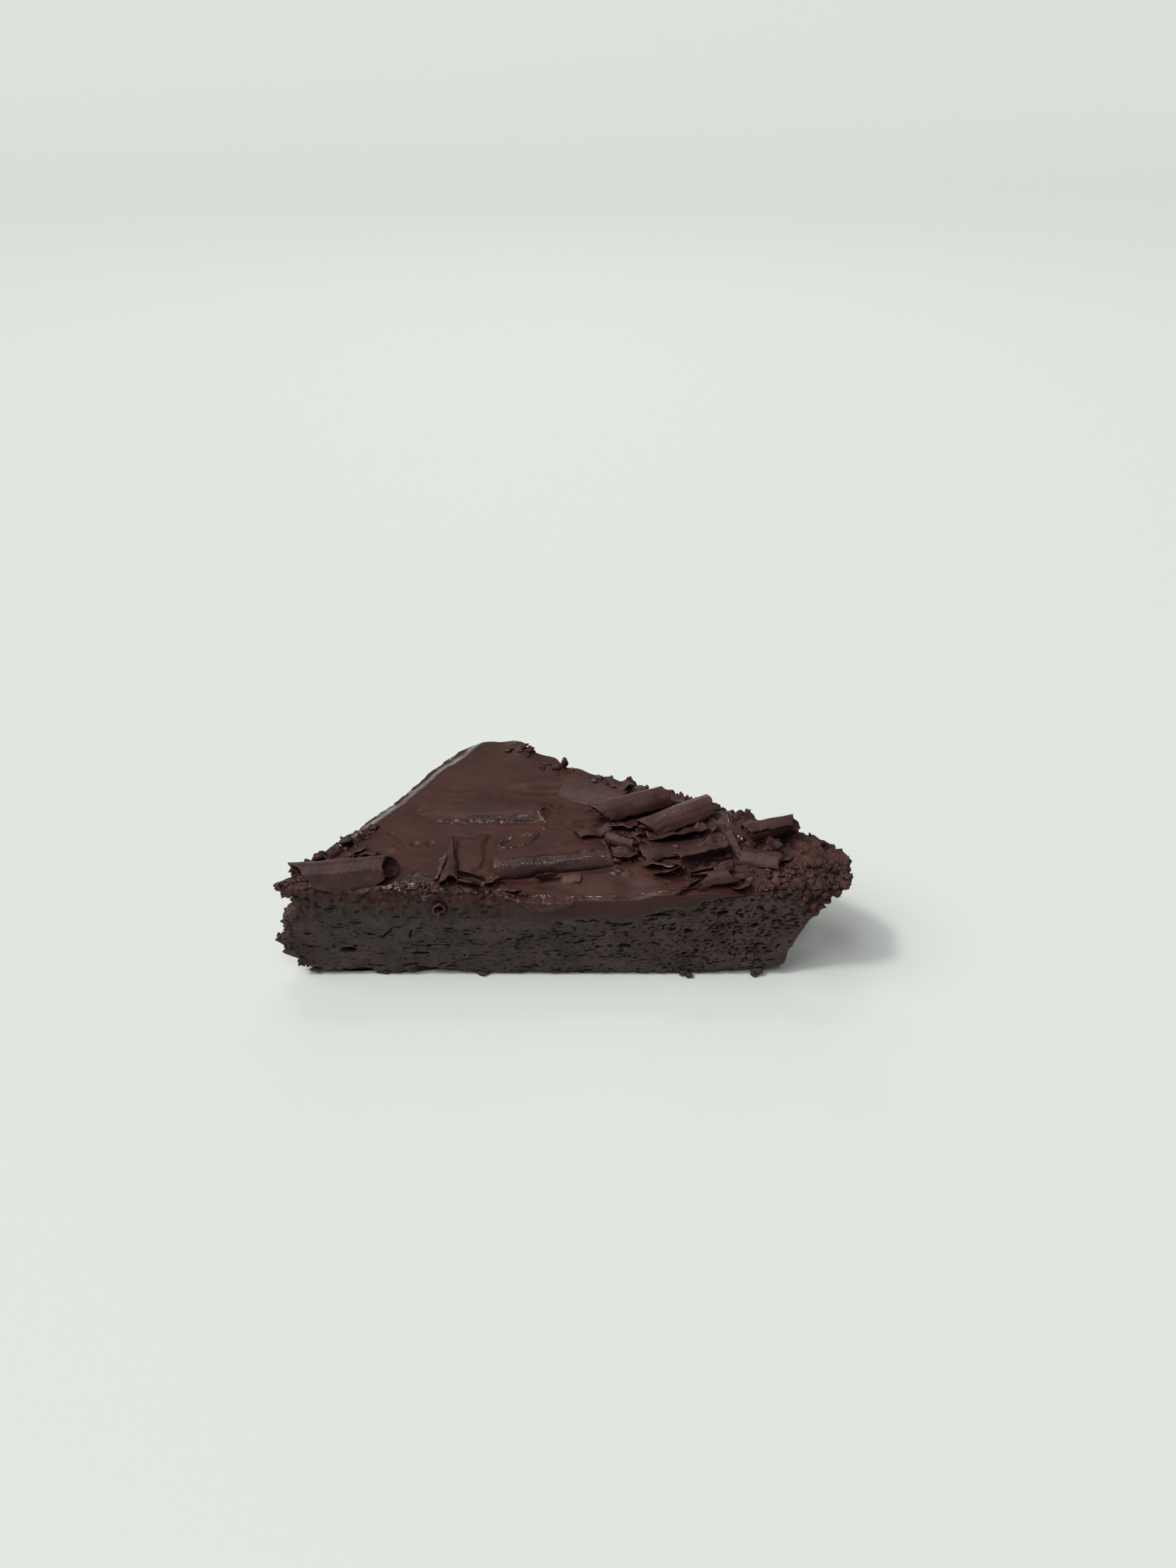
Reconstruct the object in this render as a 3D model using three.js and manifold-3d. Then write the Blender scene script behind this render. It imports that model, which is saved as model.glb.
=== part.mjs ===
// A brownie slice: dense sponge with two cut sides and one flared, baked side, a
// ganache layer that runs through it, and rolled chocolate curls lying on top.
// Millimetres, +Z up, z = 0 at the underside, the long cut face towards -Y.
import * as THREE from 'three';
import { ImprovedNoise } from 'three/addons/math/ImprovedNoise.js';
import { mergeVertices } from 'three/addons/utils/BufferGeometryUtils.js';
import Module from 'manifold-3d';

const { lerp, smoothstep, seededRandom, degToRad } = THREE.MathUtils;

// Plan of the slice at lip height
const sliceLength = 123; // front cut, from the torn tip to the baked end
const sliceDepth = 62; // front cut to the back corner
const frontY = -28;
const tipX = -63;
const backCornerX = -22;
const endWidth = 14.5; // short baked end beside the front cut
const endSlant = 2.5;

// Baked wall and its lip
const lipReach = 11.5; // how far the lip stands out past the base
const wallReach = 6.2; // the part of that reach made by the flare below the lip
const lipStart = 19;
const rimHeight = 26.5; // at the baked end
const rimFall = 4; // how much lower the rim is at the back corner, where ganache covers it
const rimWidth = 7.5;
const endCrust = 21; // bare crust along the front cut beside the baked end
const footRound = 1.2;

// Layers
const layerGap = 0.5; // between the sponge and the ganache
const spongeHeight = 17.2; // under the ganache in the middle of the slice
const tipRise = 3;
const endRise = 6.3;
const ganacheHeight = 25.2;
const ganacheInset = { end: 16, heel: 7, back: 0.5, left: -1.2 };
const thinnestGanache = 1.6;

// Relief
const cutPits = 0.55;
const crustLumps = 1.3;
const ganacheWaves = 0.45;
const tornNotch = { height: 18.5, spread: 2.6, depth: 2.4, reach: 9 };

// Curls and chips
const sheetThickness = 0.7;
const seatGap = 0.3;
const rollPitch = 0.38; // share of its radius that a rolled sheet loses in each turn
const thinnestRoll = 0.22; // sheet thickness of a small roll, as a share of its radius
const chipCount = 22;
const chipThickness = 0.6;

// A curl is a rolled sheet between two points on its axis, with a radius at each end.
// Turns under 0.7 are open flakes, and negative turns roll the other way. The roll
// angle places the sheet's outer edge: 0 below the axis, 90 behind it and 180 on top.
// A tail hangs straight from that edge.
const curl = (name, from, to, [radius, endRadius], turns, roll, tail = 0) => (
  { name, from, to, radius, endRadius, turns, roll, tail }
);
const curls = [
  curl('curl_front_left', [-57.8, -25, 26.5], [-38.5, -23.8, 27.8], [3.3, 2.9], -1.35, 280, 3),
  curl('roll_middle', [-16.3, -20.6, 25], [9.2, -16.7, 25.4], [2.9, 2.7], -1.6, 300),
  curl('roll_back', [-35, 0.2, 23.3], [-6.4, -0.2, 23.8], [3.2, 2.9], -1.6, 300),
  curl('cone_flake', [-25.6, -26.6, 25.9], [-26.6, -13, 26.6], [2.8, 0.8], 0.69, 150),
  curl('roll_back_right', [17.6, -10.2, 27.9], [31.4, -2.8, 29], [3.1, 3], -1.5, 300),
  curl('roll_rear', [6.8, -3.6, 27.7], [22.4, 2.6, 28.2], [3, 2.8], -1.4, 300),
  curl('flake_rear', [-1, 10.4, 21.4], [13.4, 4.8, 21.8], [7, 6.4], 0.24, 137),
  curl('flake_right', [17, -16.4, 22.6], [29, -13.4, 23], [5.6, 4.8], 0.3, 126),
  curl('curl_small', [9.2, -12.6, 27.2], [14.9, -15.8, 27.4], [2.2, 2], 1.3, 170),
  curl('tube_right', [24.6, -21.4, 27.6], [35.4, -18.4, 28.3], [2.9, 2.7], 0.76, 300),
  curl('curl_rim', [39.4, -13.4, 29.8], [50.6, -10.1, 30.3], [2.6, 2.3], -1.3, 300),
  curl('flake_rim', [39.2, -18.6, 25.2], [45.2, -20.4, 25.7], [4.2, 3.6], 0.24, 135),
  curl('roll_front', [27.2, -26, 26], [36, -24.8, 26.8], [1.8, 1.6], -1.2, 300),
  curl('tube_front', [-27.9, -28.9, 20.3], [-27.4, -21.6, 20.6], [1.8, 1.7], 1.1, 90),
];

const wasm = await Module();
wasm.setup();
const perlin = new ImprovedNoise();

// Noise between about -1 and 1 whose lumps are size millimetres across.
function noiseAt(x, y, z, size) {
  return perlin.noise(x / size + 7.3, y / size + 3.1, z / size + 5.7) * 1.6;
}

function toSolid(geometry) {
  const bare = geometry.clone();
  bare.deleteAttribute('normal');
  bare.deleteAttribute('uv');
  const merged = mergeVertices(bare, 1e-4);
  const vertProperties = new Float32Array(merged.attributes.position.array);
  const triVerts = new Uint32Array(merged.index.array);
  return new wasm.Manifold(new wasm.Mesh({ numProp: 3, vertProperties, triVerts }));
}

function toGeometry(solid) {
  const mesh = solid.getMesh();
  const geometry = new THREE.BufferGeometry();
  geometry.setAttribute('position', new THREE.BufferAttribute(mesh.vertProperties, mesh.numProp));
  geometry.setIndex(new THREE.BufferAttribute(mesh.triVerts, 1));
  geometry.computeVertexNormals();
  return geometry;
}

function largestBody(solid) {
  return solid.decompose().reduce((best, body) => (body.volume() > best.volume() ? body : best));
}

// Plan outline: four sides in order, front, end, rear and left, each a line between
// two corners that can be moved inwards by its own amount at each end.
const tip = new THREE.Vector2(tipX, frontY);
const endFront = new THREE.Vector2(tipX + sliceLength, frontY);
const heel = new THREE.Vector2(tipX + sliceLength + endSlant, frontY + endWidth);
const backCorner = new THREE.Vector2(backCornerX, frontY + sliceDepth);
const sides = [
  { from: tip, to: endFront, steps: 40 },
  { from: endFront, to: heel, steps: 4 },
  { from: heel, to: backCorner, steps: 26 },
  { from: backCorner, to: tip, steps: 20 },
];
const cornerSteps = 4;

function inwards(side) {
  const along = side.to.clone().sub(side.from).normalize();
  return new THREE.Vector2(-along.y, along.x);
}

function depthInside(side, x, y) {
  return inwards(side).dot(new THREE.Vector2(x, y).sub(side.from));
}

function movedLine(side, insetFrom, insetTo) {
  const inner = inwards(side);
  const from = side.from.clone().addScaledVector(inner, insetFrom);
  const to = side.to.clone().addScaledVector(inner, insetTo);
  return { from, along: to.sub(from).normalize() };
}

function crossing(a, b) {
  const between = b.from.clone().sub(a.from);
  const share = between.cross(b.along) / a.along.cross(b.along);
  return a.from.clone().addScaledVector(a.along, share);
}

// A ring of plan points with rounded corners, always with the same number of points.
function planRing(insets, radii) {
  const lines = sides.map((side, i) => movedLine(side, ...insets[i]));
  const corners = lines.map((line, i) => crossing(lines[(i + 3) % 4], line));
  // the bends of a short side share its length
  const rooms = corners.map((corner, i) => {
    const next = (i + 1) % 4;
    return (0.9 * corner.distanceTo(corners[next])) / (radii[i] + radii[next]);
  });
  const bends = radii.map((radius, i) => radius * Math.min(1, rooms[(i + 3) % 4], rooms[i]));
  const ring = [];
  sides.forEach((side, i) => {
    const next = (i + 1) % 4;
    const start = corners[i].clone().addScaledVector(lines[i].along, bends[i]);
    const end = corners[next].clone().addScaledVector(lines[i].along, -bends[next]);
    const after = corners[next].clone().addScaledVector(lines[next].along, bends[next]);
    const straight = new THREE.LineCurve(start, end).getPoints(side.steps);
    const bend = new THREE.QuadraticBezierCurve(end, corners[next], after).getPoints(cornerSteps);
    ring.push(...straight.slice(0, -1), ...bend.slice(0, -1));
  });
  return ring;
}

function outwardAt(ring, i) {
  const before = ring[(i + ring.length - 1) % ring.length];
  const after = ring[(i + 1) % ring.length];
  const along = after.clone().sub(before).normalize();
  return new THREE.Vector2(along.y, -along.x);
}

function middleOf(ring) {
  const sum = ring.reduce((total, p) => total.add(p), new THREE.Vector2());
  return sum.divideScalar(ring.length);
}

// A closed skin over rings of 3-D points, listed from the middle of the underside,
// up the sides and in to the middle of the top.
function skinOver(rings, firstPoint, lastPoint) {
  const count = rings[0].length;
  const points = [firstPoint, ...rings.flat(), lastPoint];
  const faces = [];
  const at = (ring, i) => 1 + ring * count + (i % count);
  for (let i = 0; i < count; i += 1) {
    faces.push(0, at(0, i + 1), at(0, i));
    faces.push(points.length - 1, at(rings.length - 1, i), at(rings.length - 1, i + 1));
    for (let ring = 0; ring + 1 < rings.length; ring += 1) {
      faces.push(at(ring, i), at(ring, i + 1), at(ring + 1, i + 1));
      faces.push(at(ring, i), at(ring + 1, i + 1), at(ring + 1, i));
    }
  }
  const geometry = new THREE.BufferGeometry().setFromPoints(points);
  geometry.setIndex(faces);
  geometry.computeVertexNormals();
  return geometry;
}

// How far a point lies on the baked rim: 1 on the lip, 0 where the ganache begins.
function rimShare(x, y) {
  const rear = 1 - smoothstep(depthInside(sides[2], x, y), rimWidth * 0.35, rimWidth * 1.3);
  const end = 1 - smoothstep(depthInside(sides[1], x, y), endCrust * 0.4, endCrust);
  return Math.max(rear, end);
}

function spongeTop(x, y) {
  const rise = tipRise * (1 - smoothstep(x, -58, -35)) + endRise * smoothstep(x, 11, 38);
  const share = rimShare(x, y);
  const crags = crustLumps * 0.7 * noiseAt(x, y, 0, 5) * share;
  const rim = rimHeight - rimFall * (1 - smoothstep(x, -15, 35));
  return lerp(spongeHeight + rise, rim, share) + crags;
}

function ganacheTop(x, y) {
  const frontFall = 1.4 * (1 - smoothstep(depthInside(sides[0], x, y), 0, 7));
  const leftFall = 0.9 * (1 - smoothstep(depthInside(sides[3], x, y), 0, 4));
  const rightRise = 1.6 * smoothstep(x, 20, 45);
  const backRise = 0.9 * smoothstep(y, 5, 24);
  const waves = ganacheWaves * (noiseAt(x, y, 0, 9) + noiseAt(x, y * 2, 4, 16));
  const level = ganacheHeight - frontFall - leftFall + rightRise + backRise + waves;
  return Math.max(level, spongeTop(x, y) + layerGap + thinnestGanache);
}

// Distance that the baked side stands in from the lip at a height.
function wallInset(z) {
  const flare = wallReach * Math.min(z / lipStart, 1) ** 2;
  const lip = (lipReach - wallReach) * smoothstep(z, lipStart, rimHeight - 3);
  return lipReach - flare - lip;
}

function spongeRelief(x, y, z) {
  const onRim = Math.max(
    1 - smoothstep(depthInside(sides[1], x, y), 0, lipReach + 2),
    1 - smoothstep(depthInside(sides[2], x, y), 0, lipReach + 2),
  );
  const pits = -cutPits * Math.max(0, noiseAt(x, y, z * 2.2, 5));
  const lumps = crustLumps * noiseAt(x, y, z, 4.5) * smoothstep(z, 12, 20);
  const fromTip = Math.hypot(x - tipX, y - frontY);
  const level = (z - tornNotch.height) / tornNotch.spread;
  const atTip = 1 - smoothstep(fromTip, 0, tornNotch.reach);
  const notch = tornNotch.depth * Math.exp(-level * level) * atTip;
  return lerp(pits, lumps, onRim) - notch;
}

// The sponge, grown by a clearance on its top and sides.
function makeSponge(clearance) {
  const radii = [2, 3, 8, 13];
  const levels = [0.04, 0.13, 0.25, 0.38, 0.5, 0.62, 0.72, 0.8, 0.88, 0.95, 1];
  const topShares = [0.985, 0.95, 0.9, 0.84, 0.75, 0.6, 0.35];
  const lipRing = planRing([[0, 0], [0, 0], [0, 0], [0, 0]], radii);
  const topHeights = lipRing.map((p) => spongeTop(p.x, p.y) + clearance);
  const ringAt = (inset) => planRing([[0, 0], [inset, inset], [inset, inset], [0, 0]], radii);

  const foot = ringAt(lipReach);
  const middle = middleOf(foot);
  const rings = [];
  rings.push(foot.map((p, i) => {
    const edge = p.clone().addScaledVector(outwardAt(foot, i), -footRound);
    return new THREE.Vector3(edge.x, edge.y, 0);
  }));
  for (const level of levels) {
    const ring = ringAt(wallInset(level * rimHeight));
    rings.push(ring.map((p, i) => {
      const z = level * topHeights[i];
      const relief = spongeRelief(p.x, p.y, z) + clearance;
      const moved = p.clone().addScaledVector(outwardAt(ring, i), relief);
      return new THREE.Vector3(moved.x, moved.y, z);
    }));
  }
  for (const share of topShares) {
    rings.push(rings[levels.length].map((edge) => {
      const x = lerp(middle.x, edge.x, share);
      const y = lerp(middle.y, edge.y, share);
      return new THREE.Vector3(x, y, spongeTop(x, y) + clearance);
    }));
  }
  const underside = new THREE.Vector3(middle.x, middle.y, 0);
  const crown = new THREE.Vector3(middle.x, middle.y, spongeTop(middle.x, middle.y) + clearance);
  return skinOver(rings, underside, crown);
}

// The layer dips into the sponge's top, which is then cut from it.
function makeGanacheLayer() {
  const { end, heel: heelInset, back, left } = ganacheInset;
  const radii = [3, 4, 9, 12];
  const edgeRing = planRing([[0, 0], [end, end], [heelInset, back], [left, left]], radii);
  const middle = middleOf(edgeRing);
  const undersideShares = [0.5, 0.85, 0.94];
  const topShares = [0.985, 0.94, 0.88, 0.81, 0.72, 0.62, 0.5, 0.35, 0.17];
  const edgeBulge = 0.7;
  const ringOf = (share, bulge, heightAt) => edgeRing.map((p, i) => {
    const flat = middle.clone().lerp(p, share).addScaledVector(outwardAt(edgeRing, i), bulge);
    return new THREE.Vector3(flat.x, flat.y, heightAt(flat.x, flat.y));
  });
  const under = (x, y) => spongeTop(x, y) + layerGap;
  const deep = (x, y) => spongeTop(x, y) - layerGap * 2;
  const part = (share) => (x, y) => lerp(under(x, y), ganacheTop(x, y), share);
  const rings = [
    ...undersideShares.map((share) => ringOf(share, 0, deep)),
    ringOf(1, -0.3, under),
    ringOf(1, 0, part(0.3)),
    ringOf(1, edgeBulge * 0.4, part(0.7)),
    ringOf(1, -0.2, part(0.96)),
    ...topShares.map((share) => ringOf(share, 0, ganacheTop)),
  ];
  const low = new THREE.Vector3(middle.x, middle.y, deep(middle.x, middle.y));
  const high = new THREE.Vector3(middle.x, middle.y, ganacheTop(middle.x, middle.y));
  return skinOver(rings, low, high);
}

// A sheet rolled round +Z, from z = 0 to its length, narrowing to its end radius.
function rolledSheet({ radius, endRadius, turns, roll, length, thickness, tail = 0 }) {
  const steps = Math.max(5, Math.round(Math.abs(turns) * 9));
  const outer = [];
  const inner = [];
  for (let i = 0; i <= steps; i += 1) {
    const angle = degToRad(roll) + (turns * 2 * Math.PI * i) / steps;
    const reach = radius * (1 - (rollPitch * Math.abs(turns) * i) / steps);
    outer.push(new THREE.Vector2(Math.cos(angle), Math.sin(angle)).multiplyScalar(reach));
    inner.unshift(outer.at(-1).clone().setLength(reach - thickness));
  }
  if (tail > 0) {
    const edge = degToRad(roll);
    const hang = new THREE.Vector2(Math.sin(edge), -Math.cos(edge)).multiplyScalar(Math.sign(turns) * tail);
    outer.unshift(outer[0].clone().add(hang));
    inner.push(inner.at(-1).clone().add(hang));
  }
  const section = new THREE.Shape([...outer, ...inner]);
  const geometry = new THREE.ExtrudeGeometry(section, { depth: length, steps: 2, bevelEnabled: false });
  const position = geometry.attributes.position;
  for (let i = 0; i < position.count; i += 1) {
    const scale = lerp(1, endRadius / radius, position.getZ(i) / length);
    position.setXY(i, position.getX(i) * scale, position.getY(i) * scale);
  }
  geometry.computeVertexNormals();
  return geometry;
}

const upright = new THREE.Vector3(0, 0, 1);

function makeCurl(curl) {
  const from = new THREE.Vector3(...curl.from);
  const axis = new THREE.Vector3(...curl.to).sub(from);
  const thickness = Math.min(sheetThickness, curl.radius * thinnestRoll);
  const geometry = rolledSheet({ ...curl, length: axis.length(), thickness });
  const mesh = new THREE.Mesh(geometry);
  mesh.position.copy(from);
  mesh.quaternion.setFromUnitVectors(upright, axis.normalize());
  mesh.updateMatrixWorld(true);
  return mesh;
}

// The room that a tail takes beside its roll, grown by the seat gap.
function tailRoom(curl, length) {
  const slab = new THREE.BoxGeometry(sheetThickness + 2 * seatGap, curl.tail + 2 * seatGap, length);
  slab.translate(curl.radius - sheetThickness / 2, (-Math.sign(curl.turns) * curl.tail) / 2, length / 2);
  slab.rotateZ(degToRad(curl.roll));
  return slab;
}

// The room that a curl takes, grown by the seat gap: a full round for a roll, and the
// sheet itself for an open flake.
function curlRoom(curl) {
  const from = new THREE.Vector3(...curl.from);
  const axis = new THREE.Vector3(...curl.to).sub(from);
  const length = axis.length() + 2 * seatGap;
  let geometry;
  if (Math.abs(curl.turns) < 0.7) {
    const radius = curl.radius + seatGap;
    const endRadius = curl.endRadius + seatGap;
    const thickness = sheetThickness + 2 * seatGap;
    geometry = rolledSheet({ ...curl, radius, endRadius, length, thickness });
  } else {
    geometry = new THREE.CylinderGeometry(curl.endRadius + seatGap, curl.radius + seatGap, length, 14);
    geometry.rotateX(Math.PI / 2);
    geometry.translate(0, 0, length / 2);
  }
  const rooms = curl.tail > 0 ? [geometry, tailRoom(curl, length)] : [geometry];
  const turn = new THREE.Quaternion().setFromUnitVectors(upright, axis.normalize());
  const solids = rooms.map((room) => {
    room.translate(0, 0, -seatGap);
    room.applyQuaternion(turn);
    room.translate(from.x, from.y, from.z);
    return toSolid(room);
  });
  return solids.reduce((all, room) => all.add(room));
}

// A place for a chip: two in three lie in the heap towards the baked end, and the rest
// along the edge of the left cut.
function chipPlace(index) {
  if (index % 3 !== 0) {
    const x = lerp(2, 38, seededRandom());
    return { x, y: lerp(frontY + 4, -0.3 * x, seededRandom()) };
  }
  const x = lerp(tipX + 11, backCornerX + 4, seededRandom());
  const leftEdge = lerp(frontY, backCorner.y, (x - tipX) / (backCornerX - tipX));
  return { x, y: Math.min(leftEdge, backCorner.y - 6) - lerp(4, 9, seededRandom()) };
}

function makeChips() {
  const chips = [];
  seededRandom(41);
  for (let i = 0; i < chipCount; i += 1) {
    const { x, y } = chipPlace(i);
    const length = lerp(3, 6.5, seededRandom());
    const radius = lerp(2.5, 4, seededRandom());
    const bend = { radius, endRadius: radius * 0.8, turns: 0.2, roll: 54 };
    const chip = rolledSheet({ ...bend, length, thickness: chipThickness });
    chip.translate(0, -radius, -length / 2);
    chip.rotateX(Math.PI / 2);
    chip.rotateX(lerp(-0.5, 0.5, seededRandom()));
    chip.rotateZ(Math.PI * 2 * seededRandom());
    chip.translate(x, y, ganacheTop(x, y) + lerp(0.1, 0.8, seededRandom()));
    chips.push(toSolid(chip));
  }
  return chips;
}

function makeGanache() {
  let solid = toSolid(makeGanacheLayer()).subtract(toSolid(makeSponge(layerGap)));
  for (const chip of makeChips()) solid = solid.add(chip);
  for (const curl of curls) solid = solid.subtract(curlRoom(curl));
  return toGeometry(largestBody(solid));
}

function matte(color, roughness) {
  return new THREE.MeshStandardMaterial({ color, roughness, metalness: 0 });
}

const slice = new THREE.Group();

const sponge = new THREE.Mesh(makeSponge(0), matte(0x34292a, 0.85));
sponge.name = 'sponge';
slice.add(sponge);

const ganache = new THREE.Mesh(makeGanache(), matte(0x4f3a36, 0.4));
ganache.name = 'ganache';
slice.add(ganache);

for (const curl of curls) {
  const mesh = makeCurl(curl);
  mesh.name = curl.name;
  mesh.material = matte(0x463431, 0.45);
  slice.add(mesh);
}

export default slice;
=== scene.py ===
import random
from math import cos, exp, hypot, pi, radians, sin, sqrt

import bmesh
import bpy
from mathutils import Euler, Matrix, Vector, noise
from mathutils.geometry import interpolate_bezier


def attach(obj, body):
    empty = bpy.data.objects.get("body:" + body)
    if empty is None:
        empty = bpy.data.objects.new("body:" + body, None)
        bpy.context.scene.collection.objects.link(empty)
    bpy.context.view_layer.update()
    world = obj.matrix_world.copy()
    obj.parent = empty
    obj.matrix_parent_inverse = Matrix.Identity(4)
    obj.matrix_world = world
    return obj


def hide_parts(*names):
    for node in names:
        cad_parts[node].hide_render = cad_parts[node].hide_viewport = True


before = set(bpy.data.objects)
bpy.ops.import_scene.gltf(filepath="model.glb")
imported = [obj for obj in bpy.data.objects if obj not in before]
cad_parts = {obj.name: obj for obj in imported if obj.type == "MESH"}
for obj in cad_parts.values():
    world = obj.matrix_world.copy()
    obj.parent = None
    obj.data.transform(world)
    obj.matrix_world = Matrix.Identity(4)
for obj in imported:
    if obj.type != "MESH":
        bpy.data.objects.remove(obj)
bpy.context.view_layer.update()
print("frame loaded with", len(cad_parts), "nodes")

# Lengths below are millimetres, and every finished mesh is scaled to metres
mm = 0.001


def mix(a, b, share):
    return a + (b - a) * share


def ease(low, high, value):
    share = min(max((value - low) / (high - low), 0), 1)
    return share * share * (3 - 2 * share)


def fade(low, high, value):
    return 1 - ease(low, high, value)


# A rise is its height and the places where it starts and ends, which may run either way
def ramp(rise, place):
    height, start, stop = rise
    return height * ease(start, stop, place)


def bell(away):
    return exp(-away * away)


def noiseAt(x, y, z):
    return noise.noise(Vector((x, y, z)))


# Smooth lumps of about this size. Another shift gives other lumps.
def lumps(x, y, z, size, shift=0):
    return noiseAt(x / size + shift, y / size - shift, z / size + 2 * shift)


# Layers of lumps, each with a height, a size and a shift
def layered(x, y, z, layers):
    return sum(height * lumps(x, y, z, size, shift) for height, size, shift in layers)


# Rounded crumbs of about this size, 1 at their middles
def crumbCells(x, y, z, size):
    near = noise.voronoi(Vector((x / size, y / size, z / size)))[0][0]
    return 1 - min(near * near * 2.2, 1)


# Reads a height from a list of (place, height) pairs
def curveAt(pairs, place):
    before = pairs[0]
    for after in pairs[1:]:
        if place < after[0]:
            return mix(before[1], after[1], ease(before[0], after[0], place))
        before = after
    return before[1]


# Squared distance from the middle of an oval, 1 on its outline
def ovalAway(x, y, oval):
    return ((x - oval[0]) / oval[2]) ** 2 + ((y - oval[1]) / oval[3]) ** 2


# 1 inside any of the ovals, with soft and wavering edges
def inOvals(x, y, ovals, wobble, edge=(0.4, 1.2)):
    return max(fade(*edge, ovalAway(x, y, oval) + wobble) for oval in ovals)


def lineAway(x, y, line):
    here = Vector((x, y))
    nearest = 99
    for first, second in zip(line, line[1:]):
        first, second = Vector(first), Vector(second)
        step = second - first
        share = min(max((here - first).dot(step) / step.length_squared, 0), 1)
        nearest = min(nearest, (here - first - step * share).length)
    return nearest


def turned(x, y, heading):
    angle = radians(heading)
    return x * cos(angle) + y * sin(angle), y * cos(angle) - x * sin(angle)


# Plan of the slice at lip height: front cut, baked end, baked rear and left cut
slicePlan = {
    "tip": (-63, -28),
    "endFront": (60, -28),
    "heel": (62.5, -13.5),
    "back": (-22, 34),
    "bendRoom": 0.9,  # share of a side that its two bends may take
    "bendPull": 0.67,  # how far a bend is drawn towards its corner
    "lipReach": 11.5,  # how far the lip stands out past the base
    "wallReach": 6.2,  # how far the wall leans out below it
    "wallTop": 19,
    "lipRange": (21, 26),  # heights between which the lip swells out
    "rimHeight": 26.5,
    "rimFall": (4, 35, -15),  # the rim is lower at the back corner: how much, and by x
    "rimFade": (2.625, 9.75),  # depths from the rear where the rim passes into the layer
    "endFade": (8.4, 21),  # the same from the baked end
    "spongeHeight": 17.2,
    "tipRise": (3, -35, -58),
    "endRise": (6.3, 11, 38),
    "ganacheHeight": 25.2,
    "layerGap": 0.3,
    "thinnestGanache": 1.6,
}
cornerNames = ("tip", "endFront", "heel", "back")
sideNames = ("front", "end", "rear", "left")
sliceSides = {}
for index, side in enumerate(sideNames):
    start = Vector(slicePlan[cornerNames[index]])
    stop = Vector(slicePlan[cornerNames[(index + 1) % 4]])
    along = (stop - start).normalized()
    sliceSides[side] = {"start": start, "stop": stop, "inward": Vector((-along.y, along.x))}


def depthInside(side, x, y):
    line = sliceSides[side]
    return (x - line["start"].x) * line["inward"].x + (y - line["start"].y) * line["inward"].y


def crossing(first, second):
    between = second[0] - first[0]
    return first[0] + first[1] * (between.cross(second[1]) / first[1].cross(second[1]))


# A ring of plan points with rounded corners. Each side can be moved in at both its ends.
def planRing(insets, radii, counts, cornerCount):
    lines = []
    for side, line in sliceSides.items():
        insetStart, insetStop = insets.get(side, (0, 0))
        start = line["start"] + line["inward"] * insetStart
        stop = line["stop"] + line["inward"] * insetStop
        lines.append((start, (stop - start).normalized()))
    corners = [crossing(lines[i - 1], lines[i]) for i in range(4)]
    # the bends of a short side share its length
    lengths = [(corners[(i + 1) % 4] - corners[i]).length for i in range(4)]
    rooms = [slicePlan["bendRoom"] * lengths[i] / (radii[i] + radii[(i + 1) % 4]) for i in range(4)]
    radii = [radii[i] * min(1, rooms[i - 1], rooms[i]) for i in range(4)]
    pull = slicePlan["bendPull"]
    ring = []
    for i, side in enumerate(sideNames):
        after = (i + 1) % 4
        corner = corners[after]
        first = corners[i] + lines[i][1] * radii[i]
        last = corner - lines[i][1] * radii[after]
        bendEnd = corner + lines[after][1] * radii[after]
        ring += [first.lerp(last, k / counts[side]) for k in range(counts[side])]
        handles = (last.lerp(corner, pull), bendEnd.lerp(corner, pull))
        ring += interpolate_bezier(last, *handles, bendEnd, cornerCount + 1)[:-1]
    return ring


def outwards(ring):
    result = []
    for i in range(len(ring)):
        along = (ring[(i + 1) % len(ring)] - ring[i - 1]).normalized()
        result.append(Vector((along.y, -along.x)))
    return result


# 1 on the baked lip, 0 where the ganache layer begins
def rimShare(x, y):
    rear = fade(*slicePlan["rimFade"], depthInside("rear", x, y))
    end = fade(*slicePlan["endFade"], depthInside("end", x, y))
    return max(rear, end)


def spongeTop(x, y):
    rise = ramp(slicePlan["tipRise"], x) + ramp(slicePlan["endRise"], x)
    rim = slicePlan["rimHeight"] - ramp(slicePlan["rimFall"], x)
    return mix(slicePlan["spongeHeight"] + rise, rim, rimShare(x, y))


def wallInset(z):
    wall = slicePlan["wallReach"] * min(z / slicePlan["wallTop"], 1) ** 2
    lip = (slicePlan["lipReach"] - slicePlan["wallReach"]) * ease(*slicePlan["lipRange"], z)
    return slicePlan["lipReach"] - wall - lip


def newObject(bm, name):
    mesh = bpy.data.meshes.new(name)
    bm.to_mesh(mesh)
    bm.free()
    for face in mesh.polygons:
        face.use_smooth = True
    thing = bpy.data.objects.new(name, mesh)
    bpy.context.scene.collection.objects.link(thing)
    return thing


def finishMesh(bm, name):
    bmesh.ops.transform(bm, matrix=Matrix.Scale(mm, 4), verts=bm.verts)
    piece = newObject(bm, name)
    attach(piece, "root")
    return piece


def faceOutwards(bm):
    bmesh.ops.recalc_face_normals(bm, faces=bm.faces)


# The look masks are a colour attribute that the materials read
def lookLayer(bm):
    return bm.verts.layers.float_color.new("look")


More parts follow.
